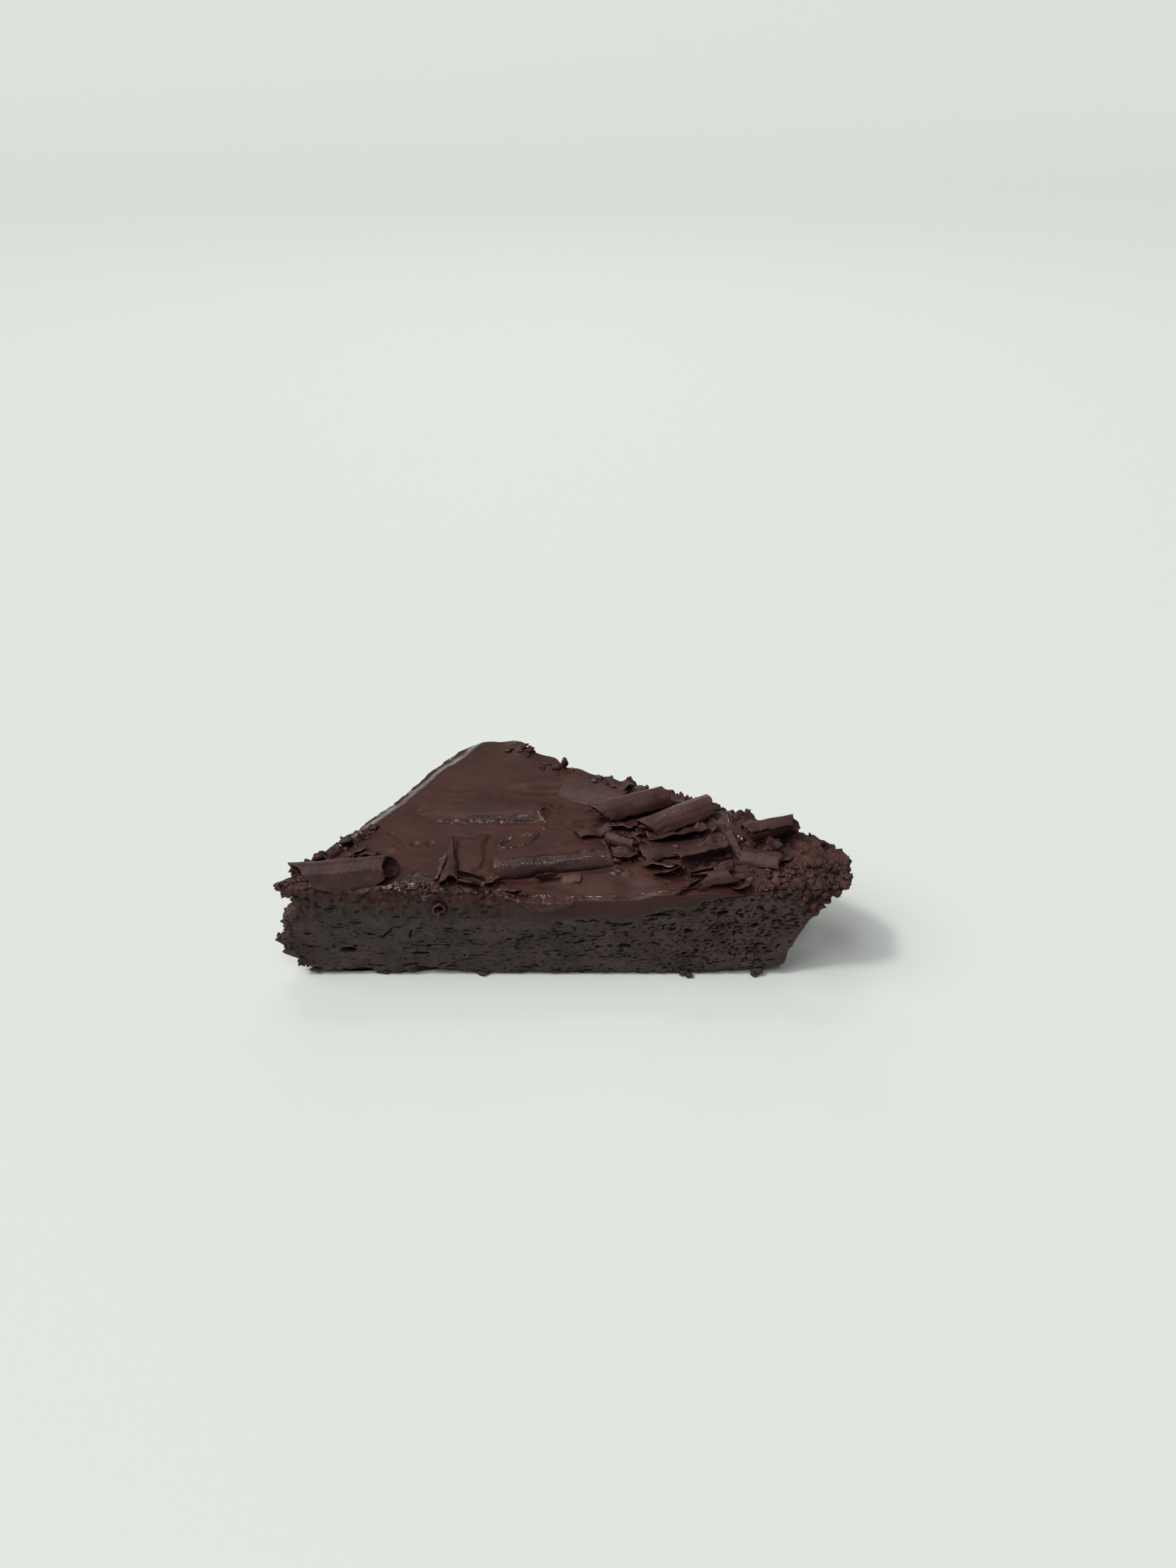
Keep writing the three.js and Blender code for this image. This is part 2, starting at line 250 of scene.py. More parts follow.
# Wraps a flat grid round a body: columns go round it, rows from the underside's middle
# up the sides to the middle of the top. place gives each point and its look masks.
def wrapGrid(name, columns, rows, place):
    bm = bmesh.new()
    bmesh.ops.create_grid(bm, x_segments=columns, y_segments=rows, size=0.5)
    look = lookLayer(bm)
    for v in bm.verts:
        column = round((v.co.x + 0.5) * columns) % columns
        row = round((v.co.y + 0.5) * rows)
        point, masks = place(column, row)
        v.co = point
        v[look] = (*masks, 1)
    bmesh.ops.remove_doubles(bm, verts=bm.verts, dist=1e-4)
    faceOutwards(bm)
    return finishMesh(bm, name)


# Sponge: porous cut faces, torn tip, flared baked wall and crumbly lip
spongeForm = {
    "columns": {"front": 428, "end": 78, "rear": 164, "left": 76},
    "cornerColumns": 10,
    "corners": (2, 2, 8, 13),
    "wallRows": 86,
    "crustRows": 26,
    "innerRows": 5,
    "crustShare": 0.66,  # the crust's rows end this far from the middle of the top
    "footRound": 0.8,
    "topRound": 0.5,
    "footRagged": ((1, 2.6, 4), (0.8, 1.1, 2)),
    "bakedDepths": (13, 12.5),  # how far the crust reaches in from the end and the rear
    "crustDepth": 1.5,
    "warmth": (0.2, 0, 45),  # the cut is browner towards the baked end, by x
    "slitDepth": 0.75,
    "holeDepth": 0.8,
    # pores: flat slits at the left, rounder and closer by x towards the baked end, fewer towards
    # the tip. A lower start gives more of them.
    "pores": {"rounder": (0, 42), "wide": (2.1, 1.2), "tall": (0.36, 0.5), "fine": (0.8, 0.4),
        "start": (0.42, 0.38), "crowding": 0.24, "fewer": (0.14, -18, -50)},
    "tornReach": 9,
    # how far the torn tip stands out, by height
    "torn": ((0, -5.5), (1.8, -4.6), (3.4, -1.6), (5, -0.6), (6.8, 1.4), (8.4, 0.6), (9.6, 1.4),
        (10.5, 3.4), (11.6, 1), (12.9, -0.4), (14.4, 0.6), (15.6, 1.1), (17, -0.4), (19.2, -1.2),
        (20.6, -2.6), (22, -2)),
    # larger holes in the front cut: x, z, half width, half height
    "holes": ((-49.3, 7.7, 2, 1), (26.1, 13.3, 1.05, 0.65), (-46.4, 16.2, 1.2, 0.7), (-33.3, 6.8, 2.1, 0.4),
        (-17, 19.4, 1.8, 0.6), (12, 9, 1.5, 0.45), (33, 18.5, 1.3, 0.6), (40.5, 15, 1, 0.55),
        (3.8, 16.5, 2.6, 0.35), (11.5, 15.4, 2.4, 0.4), (19, 18, 3.2, 0.4)),
    # cracks in the front cut, as lines of x, z
    "cracks": (((-45, 12.9), (-41.2, 11.4), (-38.6, 14.7), (-36.3, 15)),
        ((-35.3, 11.7), (-34.7, 13.5), (-32.8, 14.4), (-30.2, 13.5)),
        ((-57.3, 19.6), (-52.5, 19.3), (-48.1, 19.5), (-47, 18.4)),
        ((6, 16.3), (11, 15.2), (15, 15.9), (20, 17.4), (25, 17.9))),
    "crackWidth": (0.08, 0.34),
    # where ganache is dragged down over the front cut: x, z, half width, half height
    "smears": ((-38, 17.3, 11, 4.4), (-16, 15.9, 13, 2.7), (3, 16.8, 9, 1.8), (14, 17, 10, 1.2),
        (-54, 20, 6, 1)),
    # where ganache is smeared over the crust on top: x, y and half sizes
    "crustSmears": ((46, -18.5, 7, 6), (40, -25, 5, 2.5)),
    # height on the front cut where the crust begins, by x
    "crustLine": ((33, 28), (38.6, 24.2), (44, 23), (50, 21.4), (53, 17), (55, 8)),
    # height of the lower front edge above the floor, by x
    "foot": ((-63, 2.4), (-58, 0.9), (-54, 0.4), (-46.7, 1.5), (-42.4, 0), (-36, 0), (-33, 1.7), (-31, 1.6),
        (-28.5, 0.7), (-20, 0), (29, 0), (35, 0.6), (42, 1.5), (49, 2.2)),
}


# Marks on the front cut: smeared ganache, large holes and cracks
def frontMarks(x, z):
    form = spongeForm
    wobble = 0.5 * lumps(x, 0, z, 2.2, 4)
    wander = wobble + 0.9 * lumps(x, 0, z * 1.6, 5, 6)
    smear = inOvals(x, z, form["smears"], wander)
    deep = inOvals(x, z, form["holes"], wobble, (0.5, 1.1))
    drift = 0.55 * lumps(x, 3, z, 1.3, 2) + 0.3 * lumps(x, 5, z, 0.6, 3)
    cracks = max(fade(*form["crackWidth"], lineAway(x, z + drift, line)) for line in form["cracks"])
    return smear, deep, cracks * ease(-0.35, 0.1, lumps(x, 9, z, 1.4, 3))


# Pores as a mask of painted shade and as depth. holes are cut in any case, smears close the small ones.
def cutPores(x, y, z, smear, holes):
    form = spongeForm["pores"]
    rounder = ease(*form["rounder"], x)
    wide, tall = mix(*form["wide"], rounder), mix(*form["tall"], rounder)
    z += 0.9 * lumps(x, y, 0, 14, 1) + 0.35 * lumps(x, y, z, 2.4, 7)
    slit = noiseAt(x / wide, y / wide, z / tall)
    fineWide, fineTall = form["fine"]
    fine = noiseAt(x / fineWide + 3, y / fineWide, z / fineTall)
    crowd = lumps(x * 0.3, y * 0.3, z, 2.2, 3)
    start = mix(*form["start"], rounder) - form["crowding"] * crowd + ramp(form["fewer"], x)
    dark = max(ease(start - 0.08, start, slit), ease(start, start + 0.1, fine))
    sunk = max(ease(start - 0.02, start + 0.1, slit), 0.6 * ease(start + 0.04, start + 0.14, fine))
    clear = 1 - 0.85 * smear
    return max(dark * clear, holes), max(sunk * clear, holes)


# Moves the sponge's skin out or in. The masks are painted shade in the pores and pits, crust and smear.
def crumbRelief(x, y, z):
    form = spongeForm
    endDepth, rearDepth = form["bakedDepths"]
    baked = max(fade(0, endDepth, depthInside("end", x, y)), fade(0, rearDepth, depthInside("rear", x, y)))
    onFront = fade(0, 1.5, depthInside("front", x, y))
    crustStart = curveAt(form["crustLine"], x) + 1.2 * lumps(x, y, z, 2.2)
    baked = mix(baked, ease(-0.5, 0.7, z - crustStart), onFront)
    smear = deep = cracks = 0
    if onFront > 0:
        smear, deep, cracks = [mark * onFront for mark in frontMarks(x, z)]
    pores, slits = cutPores(x, y, z, smear, max(deep, cracks))
    cut = 0.09 * lumps(x, y, z * 1.5, 0.62, 2) + 0.1 * lumps(x, y, z * 1.6, 1.7, 5)
    cut += smear * (0.12 + 0.16 * lumps(x, y, z, 1.4, 4))
    cut -= form["slitDepth"] * slits + form["holeDepth"] * deep
    # crumb clusters on the baked side, stronger towards the lip
    up = ease(12, 20, z)
    cells = crumbCells(x, y, z, 2.9) - 0.55 + 0.7 * (crumbCells(x, y, z, 1.3) - 0.5)
    cells += 0.7 * lumps(x, y, z, 0.75, 4)
    crust = mix(0.55, 1, up) * form["crustDepth"] * (0.6 * cells + 0.8 * lumps(x, y, z, 5.5, 9))
    # painted shade in the pits between the crumb clusters
    pits = 0.8 * ease(0.2, 0.6, -cells) * up
    torn = tornShare(x, y) * mix(0.3, 0.6, ease(16, 22, z))
    warm = ramp(form["warmth"], x) * onFront
    return mix(cut, crust, baked), (mix(pores, pits, baked), max(baked, torn, warm), smear)


def tornShare(x, y):
    fromTip = hypot(x - slicePlan["tip"][0], y - slicePlan["tip"][1])
    return fade(0.3, spongeForm["tornReach"], fromTip)


# The torn tip reaches out sideways in crumbly layers
def tornReach(x, y, z, profile):
    share = tornShare(x, y)
    if share <= 0:
        return Vector((0, 0))
    ragged = 0.9 * (crumbCells(x, y, z * 1.5, 2.4) - 0.5) + 1.3 * lumps(x, y, z * 1.6, 1.7, 6)
    ragged += 0.9 * lumps(x, y, z, 0.75, 3)
    reach = (curveAt(profile, z) + ragged) * share
    return Vector((-reach, 0.25 * ragged * share))


# Lift of the crust's top, and its masks: painted shade in the pits, and smeared ganache
def crustCrags(x, y):
    cells = 1.3 * (crumbCells(x, y, 0, 3) - 0.5) + (crumbCells(x, y, 3, 1.4) - 0.5)
    cells += 0.4 * lumps(x, y, 1, 1, 4)
    wobble = 0.6 * lumps(x, y, 0, 2.5, 3)
    smear = inOvals(x, y, spongeForm["crustSmears"], wobble)
    crags = cells * (1 - 0.8 * smear) + 1.4 * lumps(x, y, 0, 5.5, 9) + 0.3 * smear
    return crags, 0.8 * ease(0.1, 0.8, -cells) * (1 - smear), smear


# How far the top is bare crust: on the lip, and where the ganache thins out
def bareTop(x, y):
    return max(ease(0.35, 0.8, rimShare(x, y)), ease(0.4, 0.8, bareFront(x, y)))


def buildSponge():
    form = spongeForm

    def ringAt(inset):
        moved = {"end": (inset, inset), "rear": (inset, inset)}
        return planRing(moved, form["corners"], form["columns"], form["cornerColumns"])

    topHeights = [spongeTop(*p) for p in ringAt(0)]
    foot = ringAt(slicePlan["lipReach"])
    footOut = outwards(foot)
    middle = sum(foot, Vector((0, 0))) / len(foot)
    lifts = []
    for p in foot:
        onFront = fade(0, mix(5, 14, ease(30, 45, p.x)), depthInside("front", *p))
        ragged = sum(max(0, layered(*p, 0, (layer,))) for layer in form["footRagged"])
        lifts.append(curveAt(form["foot"], p.x) * onFront + ragged)
    walls = []
    for row in range(form["wallRows"]):
        level = (row + 0.6) / (form["wallRows"] - 0.4)
        ring = ringAt(wallInset(level * slicePlan["rimHeight"]))
        walls.append((level, ring, outwards(ring)))
    edge = {}
    topRow = 3 + len(walls)
    lastRow = topRow + form["crustRows"] + form["innerRows"]

    def footPoint(column, row):
        p = foot[column]
        relief = crumbRelief(*p, lifts[column])[0]
        inset = form["footRound"] + 0.6 * lifts[column] - relief
        moved = middle.lerp(p - footOut[column] * inset, (0, 0.88, 1)[row])
        moved += tornReach(*p, 0, form["torn"])
        return Vector((*moved, 0.75 * lifts[column] * (row - 1))), (0, 0.2, 0)

    def wallPoint(column, row):
        level, ring, normals = walls[row - 3]
        p, out = ring[column], normals[column]
        z = level * topHeights[column]
        if z < 6 + lifts[column]:
            z = mix(lifts[column], topHeights[column], level)
        relief, masks = crumbRelief(*p, z)
        tuck = form["footRound"] * fade(0, 1.4, z - lifts[column])
        crown = form["topRound"] * ease(0.97, 1, level) * (1 - masks[2])
        moved = p + out * (relief - tuck - crown) + tornReach(*p, z, form["torn"])
        rim = ease(0.35, 0.8, rimShare(*p))
        lift = crustCrags(*p)[0] * rim * ease(0.75, 1, level)
        edge[column] = moved
        return Vector((*moved, z + lift)), masks

    def place(column, row):
        if row == 0:
            return Vector((*middle, 0)), (0, 0, 0)
        if row < 3:
            return footPoint(column, row)
        if row < topRow:
            return wallPoint(column, row)
        if row == lastRow:
            return Vector((*middle, spongeTop(*middle))), (0, 0, 0)
        if row < topRow + form["crustRows"]:
            share = mix(0.995, form["crustShare"], (row - topRow) / form["crustRows"])
        else:
            share = form["crustShare"] * (lastRow - row) / (form["innerRows"] + 1)
        p = middle.lerp(edge[column], share)
        bare = bareTop(*p)
        crags, pits, smear = crustCrags(*p)
        # masks: painted shade in the crust's pits, bare crust and smear
        return Vector((*p, spongeTop(*p) + crags * bare)), (pits * bare, bare, smear * bare)

    piece = wrapGrid("browniesponge", len(foot), lastRow, place)
    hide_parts("sponge")
    return piece


# Curls: sheets of chocolate rolled between two points on an axis, with a radius at each end.
# Turns under 0.7 are open flakes and negative turns roll the other way. roll places the
# sheet's outer edge: 0 below the axis, 90 behind it, 180 on top. slant cuts the ends at an
# angle, towards the side in slantTurn, and a tail hangs straight from the outer edge.
# A coat lets the ganache rise over the roll from behind, up to coatEdge, and grain roughens
# what stays bare.
curlForms = {
    "curl_front_left": {"axis": ((-57.8, -25, 26.5), (-38.5, -23.8, 27.8)), "radii": (3.4, 2.9),
        "turns": -1.12, "roll": 280, "slant": (2.8, 1.3), "slantTurn": (290, 51), "tail": 3,
        "grain": 0.07},
    "roll_middle": {"axis": ((-16.3, -20.6, 25), (9.2, -16.7, 25.4)), "radii": (2.9, 2.7), "turns": -1.6,
        "roll": 300, "slant": (0.4, 0.6), "coat": 0.14, "coatEdge": -0.2, "coatEnds": (0.4, 0.4),
        "grain": 0.1, "wet": 0.5},
    "roll_back": {"axis": ((-35, 0.2, 22.8), (-6.4, -0.2, 23.8)), "radii": (3.2, 2.9), "turns": -1.6,
        "roll": 300, "slant": (0.6, 0.3), "coat": 0.14, "coatEdge": -0.6, "coatEnds": (7, 4), "grain": 0.12,
        "wet": 0.7},
    "cone_flake": {"axis": ((-25.6, -26.6, 25.9), (-26.6, -13, 26.6)), "radii": (2.8, 0.8), "turns": 0.69,
        "roll": 150, "slant": (0.8, 1.5), "grain": 0.1},
    "roll_back_right": {"axis": ((17.6, -10.2, 27.9), (31.4, -2.8, 29)), "radii": (3.1, 3), "turns": -1.5,
        "roll": 300, "slant": (2, -0.8), "flare": 0.5, "wet": 0.55, "pale": 0.26},
    "roll_rear": {"axis": ((6.8, -3.6, 27.7), (22.4, 2.6, 28.2)), "radii": (3, 2.8), "turns": -1.4,
        "roll": 300, "slant": (2.4, 0.8), "flare": 0.6, "pale": 0.1},
    "flake_rear": {"axis": ((-1, 10.4, 20.4), (13.4, 4.8, 20.9)), "radii": (7, 6.4), "turns": 0.24,
        "roll": 137, "slant": (0.9, 0.7), "grain": 0.06, "wet": 0, "pale": 0.15},
    "flake_right": {"axis": ((17, -16.4, 22.6), (29, -13.4, 23)), "radii": (5.6, 4.8), "turns": 0.3,
        "roll": 126, "slant": (1.2, -1)},
    "curl_small": {"axis": ((9.2, -12.6, 27.2), (14.9, -15.8, 27.4)), "radii": (2.2, 2), "turns": 1.3,
        "roll": 170, "slant": (0.6, 0.5), "flare": 0.4},
    "tube_right": {"axis": ((24.6, -21.4, 27.6), (35.4, -18.4, 28.3)), "radii": (2.9, 2.7), "turns": 0.76,
        "roll": 300, "slant": (1.2, 1.2), "slantTurn": (0, 51)},
    "curl_rim": {"axis": ((39.4, -13.4, 29.2), (50.6, -10.1, 29.6)), "radii": (2.5, 2.2), "turns": -1.2,
        "roll": 250, "slant": (0.8, 1.4), "slantTurn": (0, 51), "flare": 0.4},
    "flake_rim": {"axis": ((39.2, -18.6, 24.6), (45.2, -20.4, 25.2)), "radii": (4.2, 3.6), "turns": 0.24,
        "roll": 135, "slant": (1.2, -1.2), "grain": 0.08},
    "roll_front": {"axis": ((27.2, -26, 26), (36, -24.8, 26.8)), "radii": (1.8, 1.6), "turns": -1.2,
        "roll": 300, "slant": (2.2, 2), "slantTurn": (200, 20)},
    "tube_front": {"axis": ((-27.9, -28.9, 20.3), (-27.4, -21.6, 20.6)), "radii": (2, 1.8), "turns": 1.2,
        "roll": 90, "slant": (0.2, 0.2)},
}
curlSheet = {
    "thickness": 0.4,
    "thickest": 0.18,  # share of the radius that the sheet may take
    "pitch": 0.38,  # share of the radius that each turn loses
    "aroundStep": 0.34,
    "alongStep": 0.36,
    "ragged": 0.8,
    "warp": 0.26,
    "grooves": 0.2,  # along the rolls that have no coat
    "tailSlant": (1.6, 1.1),
    "wet": 0.2,
}


def buildCurl(node, form):
    start, stop = Vector(form["axis"][0]), Vector(form["axis"][1])
    axis = (stop - start).normalized()
    length = (stop - start).length
    turn = Vector((0, 0, 1)).rotation_difference(axis)
    firstRadius, lastRadius = form["radii"]
    turns = abs(form["turns"])
    tail = form.get("tail", 0)
    rolled = turns * 2 * pi * firstRadius
    around = max(10, round((tail + rolled) / curlSheet["aroundStep"]))
    alongCount = max(8, round(length / curlSheet["alongStep"]))
    rollAngle = radians(form["roll"])
    hangs = turn @ Vector((-sin(rollAngle), cos(rollAngle), 0))
    thickness = min(curlSheet["thickness"], firstRadius * curlSheet["thickest"])
    slantStart, slantStop = [radians(side) for side in form.get("slantTurn", (0, 0))]
    tailStart, tailStop = curlSheet["tailSlant"]
    grain = form.get("grain", 0)
    grooves = 0 if "coat" in form else curlSheet["grooves"]
    pale, wet = form.get("pale", 0), form.get("wet", curlSheet["wet"])
    seed = sum(ord(letter) for letter in node)
    bm = bmesh.new()
    bmesh.ops.create_grid(bm, x_segments=around, y_segments=alongCount, size=0.5)
    look = lookLayer(bm)
    for v in bm.verts:
        u, w = v.co.x + 0.5, v.co.y + 0.5
        toEnd = 2 * abs(w - 0.5)
        toEdge = 2 * abs(u - 0.5)
        hang = max(0, tail - u * (tail + rolled))
        u = max(0, u * (tail + rolled) - tail) / rolled
        angle = rollAngle + form["turns"] * 2 * pi * u
        along = w * length + hang * (tailStart * (1 - w) ** 2 - tailStop * w ** 2)
        along += form["slant"][0] * cos(angle - slantStart) * (1 - w) ** 2
        along += form["slant"][1] * cos(angle - slantStop) * w ** 2
        tear = noiseAt(angle * 1.3, seed, w * 3) + 0.5 * noiseAt(angle * 4.1, seed, w)
        along += curlSheet["ragged"] * tear * toEnd ** 6
        reach = mix(firstRadius, lastRadius, w) * (1 - curlSheet["pitch"] * turns * u)
        reach += curlSheet["warp"] * noiseAt(along * 0.22, angle * 0.9, seed)
        reach += form.get("flare", 0) * exp(-u * turns * 9)
        reach += grain * noiseAt(along * 1.3, angle * firstRadius * 1.3, seed)
        reach += grooves * noiseAt(angle * firstRadius * 0.9, along * 0.07, seed + 3)
        torn = noiseAt(along * 0.45, seed, 7) + 0.5 * noiseAt(along * 1.3, seed, 2)
        hang *= 1 + 0.3 * torn
        angle += 0 if tail and u < 0.5 else curlSheet["ragged"] / firstRadius * torn * toEdge ** 6
        section = turn @ Vector((cos(angle), sin(angle), 0))
        v.co = start + axis * along + section * (reach - thickness * 0.5) + hangs * hang
        edge = max(ease(0.94, 1, toEnd), ease(0.96, 1, toEdge))
        v[look] = (edge, pale, wet, 1)
    faceOutwards(bm)
    bmesh.ops.solidify(bm, geom=bm.faces[:], thickness=thickness)
    faceOutwards(bm)
    piece = finishMesh(bm, "shaved_" + node)
    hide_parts(node)
    return piece


# Ganache: a soft layer with a rounded edge, rising over the sunk rolls
ganacheForm = {
    "columns": {"front": 420, "end": 36, "rear": 160, "left": 130},
    "cornerColumns": 12,
    "corners": (3, 4, 9, 12),
    "insets": {"end": (16, 16), "rear": (7, 0.5), "left": (-2.2, -0.6)},
    "underShares": (0.4, 0.75, 0.95),
    "sideRows": 26,
    "topRows": 80,
    "bulge": 0.12,
    "topRound": 0.8,
    "waves": 0.5,
    "spreadMarks": 0.14,  # fine ridges that the spreading left
    "endSwell": (1.6, 20, 45),  # by x
    "backSwell": (0.9, 5, 24),  # by y
    "frontDip": (0.5, 1.6, 0),  # by the depth inside the front
    "leftDip": (1.8, 2, -2.4),
    "leftSag": 1.3,
    # height of the front edge against the layer's level, by x
    "frontLevel": ((-63, 2), (-57, 1.3), (-50, 0.2), (-45, -0.2), (-33, 0.7), (-26, 0.3), (-16, -1.2),
        (-5, -2.4), (3, -2.7), (10, -2), (21, -0.9), (30, -0.6), (45, -0.4)),
    # a roll that is wholly under the surface: ends of its axis and its radius
    "buriedRoll": ((-13, 11.2, 24), (5, 11.4, 24.4), 2.3),
    # soft swellings: x, y, radius and height
    "swells": ((-12.6, 26.4, 3.6, 2.5), (-24, 25, 5, -0.9), (3, 13, 4, 0.8), (8, 9, 4, 0.6),
        (23, -8.5, 7, 0.9), (33, -13, 6, 0.8)),
    # height of the layer's lower edge on the front cut, by x, and left of that how far it drips
    "underEdge": ((-9, 16.4), (-4, 17), (-0.6, 16.6), (3.8, 16.2), (7.2, 16.8), (11.2, 15.4), (14.2, 16),
        (17.6, 18), (21.8, 19.4), (26.2, 18.9), (29.5, 21.6), (36, 24)),
    "underRagged": ((0.5, 1.5, 2), (0.3, 0.7, 3)),
    "drip": 2.4,
    "dripRagged": ((1.8, 4.5, 5), (0.5, 1.5, 2)),
    "stand": (0.1, 0.22),  # how far it stands over the sponge's face, left and right
    # how far the torn tip of the layer stands out, by height
    "torn": ((17.5, -1.4), (20.5, -3), (22.6, -3.2), (23.5, -1.4), (24.3, -0.2), (25.2, 0.6), (26.4, -0.2),
        (28, -1)),
    # the end of a small tube that leaves a hole in the front: x, z, radius and depth
    "tubeHole": (-27.9, 20.3, 1.55, 3),
    # a reddish patch of the front where the layer was torn, not cut: x, z and half sizes
    "tornPatch": (-39, 23, 5.5, 2),
    # a narrow wet lip along the front: where it starts and stops, and its height
    "lip": (-14, 28, 0.42),
    # sheets pressed flat into the surface: middle, half sizes, heading in degrees and height
    "sheets": ((-22.2, -15.8, 3.2, 6, 3, 0.42), (-44, -13, 5, 3.6, 35, 0.4), (-1.5, -9, 4.5, 2.6, 12, 0.25),
        (-24, 6.5, 7.5, 2.4, -4, 0.3), (-30, -20.5, 3.4, 2.2, 20, 0.3), (3, 0, 5, 3, 20, 0.3)),
    # a ring that shows through: middle, half sizes and heading
    "ring": (-12.2, -11, 4.4, 2, 30),
    "ringHeight": 0.4,
    # a wet edge that runs from the ring to the end of the roll behind it
    "arc": ((-8.8, -10.4), (-7.2, -8), (-6.3, -5.6), (-6.2, -3.2), (-7.4, -0.8)),
    "arcHeight": 0.35,
    "dimples": ((-38.8, -12.7, 1.3), (-35, -11.9, 1.5), (-31.6, -11.9, 1.3), (-41, -9, 1.2), (-4, 3, 1.3)),
    "seam": ((-15.7, -15.4), (-6, -13.8), (3.6, -12.4)),
    # rough, wet patches: x, y and half sizes
    "wetPatches": ((-33, -25.5, 4.2, 3.2), (-22, -3.6, 13, 1.3), (-16, -25.5, 4, 1.4), (22, -23, 5, 1.6),
        (-37.6, -27, 2.4, 1.2), (28, -9.5, 5, 1.6), (24, -13, 4, 2), (9, -10.5, 4, 1.2),
        (12, -21.5, 4, 1)),
    "patchWet": 0.62,
    "wetRough": ((0.35, 0.8, 2), (0.45, 1.9, 3)),
    "leftSheen": (0.4, 0.62),
    # folds of the front: x, z, half width, half height and how far each stands out
    "folds": ((9, 22.6, 9, 0.7, 0.4), (21, 24, 8, 0.7, 0.4), (-23, 22.5, 2.4, 1.5, 0.7),
        (-36, 24.2, 4, 0.9, 0.6)),
    # a tongue that hangs over the front: height of its lower edge by x, and how far it stands out
    "tongue": ((-16, 26), (-13.6, 23.4), (-10.5, 21.4), (-8.3, 20), (-5.1, 19.4), (-1.4, 20.6), (2.5, 22.2),
        (6, 24)),
    "tongueStand": 1.1,
    "tongueWet": 0.33,
    "leftGrey": 0.75,  # how grey the front is at the left
}

coatedRolls = []
for form in curlForms.values():
    if "coat" in form:
        ends = [Vector(point) for point in form["axis"]]
        coatedRolls.append((*ends, *form["radii"], form["coat"], form["coatEdge"], *form["coatEnds"]))
*ends, radius = ganacheForm["buriedRoll"]
coatedRolls.append((*[Vector(point) for point in ends], radius, radius, 0, -0.2, 1, 1))


# The layer's level where it rises over a roll, with a shallow groove in front of it
def coatOver(x, y, level):
    for start, stop, firstRadius, lastRadius, coat, coatEdge, firstEnd, lastEnd in coatedRolls:
        axis = (stop - start).normalized()
        length = (stop - start).length
        along = (x - start.x) * axis.x + (y - start.y) * axis.y
        across = (y - start.y) * axis.x - (x - start.x) * axis.y  # towards the back
        if not -4 < along < length + 4 or not -6 < across < 12:
            continue
        share = min(max(along / length, 0), 1)
        radius = mix(firstRadius, lastRadius, share) + coat
        centre = mix(start.z, stop.z, share)
        soft = 1 if coat else 2.2
        ends = ease(-2 * soft, 1.2 * soft, along) * fade(-2.4 * soft, 2.2 * soft, along - length)
        shoulder = centre + 0.866 * radius
        covered = 2 - ease(0, firstEnd, along) - ease(0, lastEnd, length - along) if coat else 0
        edge = (coatEdge + 0.35 * lumps(along, across, 0, 3, 6) - 0.8 * covered) * radius
        if across > 0.5 * radius:
            top = level + (shoulder - level) * bell((across - 0.5 * radius) / 2.4)
        else:
            top = centre + sqrt(max(radius * radius - across * across, 0))
        fall = 0.25 * radius if coat else 0.9 * radius
        rise = ease(edge - fall, edge, across) * ends
        level = mix(level, max(top, level), rise)
        level -= 0.6 * bell((across + 1.1 * radius) / 0.9) * ends * max(0, 1 - covered)
    return level


def sheetEdges(x, y):
    rise = 0
    for cx, cy, halfLong, halfWide, heading, height in ganacheForm["sheets"]:
        a, b = turned(x - cx, y - cy, heading)
        ragged = 0.6 * lumps(x, y, 0, 2, cx) + 1.2 * lumps(x, y, 0, 5, cx)
        inside = min(halfLong - abs(a), halfWide - abs(b)) + ragged
        rise += height * ease(-0.4, 0.7, inside) - 0.4 * height * bell((inside + 0.6) / 0.6)
    return rise


def dimpleRelief(x, y):
    rise = 0
    for cx, cy, radius in ganacheForm["dimples"]:
        away = hypot(x - cx, y - cy) / radius + 0.4 * lumps(x, y, 0, 0.9, cx)
        rise += 0.18 * bell((away - 1) / 0.3) - 0.4 * fade(0, 1, away)
    return rise


# Distance from the middle of the ring, 1 on it
def ringAway(x, y):
    cx, cy, halfLong, halfWide, heading = ganacheForm["ring"]
    a, b = turned(x - cx, y - cy, heading)
    return hypot(a / halfLong, b / halfWide) + 0.16 * lumps(x, y, 0, 2.2, 6)


def arcRidge(x, y):
    return bell(lineAway(x + 0.5 * lumps(x, y, 0, 1.8, 2), y, ganacheForm["arc"]) / 0.5)


def lipRidge(x, y):
    start, stop = ganacheForm["lip"][:2]
    along = ease(start, start + 5, x) * fade(stop - 5, stop, x)
    return along * bell((depthInside("front", x, y) - 0.8 - 0.5 * lumps(x, 0, 0, 4, 3)) / 0.22)


def wetAt(x, y):
    form = ganacheForm
    broken = ease(-0.5, 0, lumps(x, y, 0, 1.5, 9))
    wet = max(lipRidge(x, y) * mix(0.5, 1, broken), bell((ringAway(x, y) - 1) / 0.16) * broken)
    wet = max(wet, arcRidge(x, y) * broken)
    leftEdge = fade(1, 2.6, depthInside("left", x, y) - 0.8 * lumps(x, y, 0, 4, 2))
    sheen = mix(*form["leftSheen"], ease(-0.3, 0.3, lumps(x, y, 0, 3.5, 4)))
    wet = max(wet, leftEdge * sheen * ease(-54, -44, x))
    wobble = 0.5 * lumps(x, y, 0, 1.6, 5)
    return max(wet, form["patchWet"] * inOvals(x, y, form["wetPatches"], wobble))


# The layer thins out over the crust along the front, near the baked end
def bareFront(x, y):
    return fade(18, 34, depthInside("end", x, y)) * fade(2.5, 7, depthInside("front", x, y))


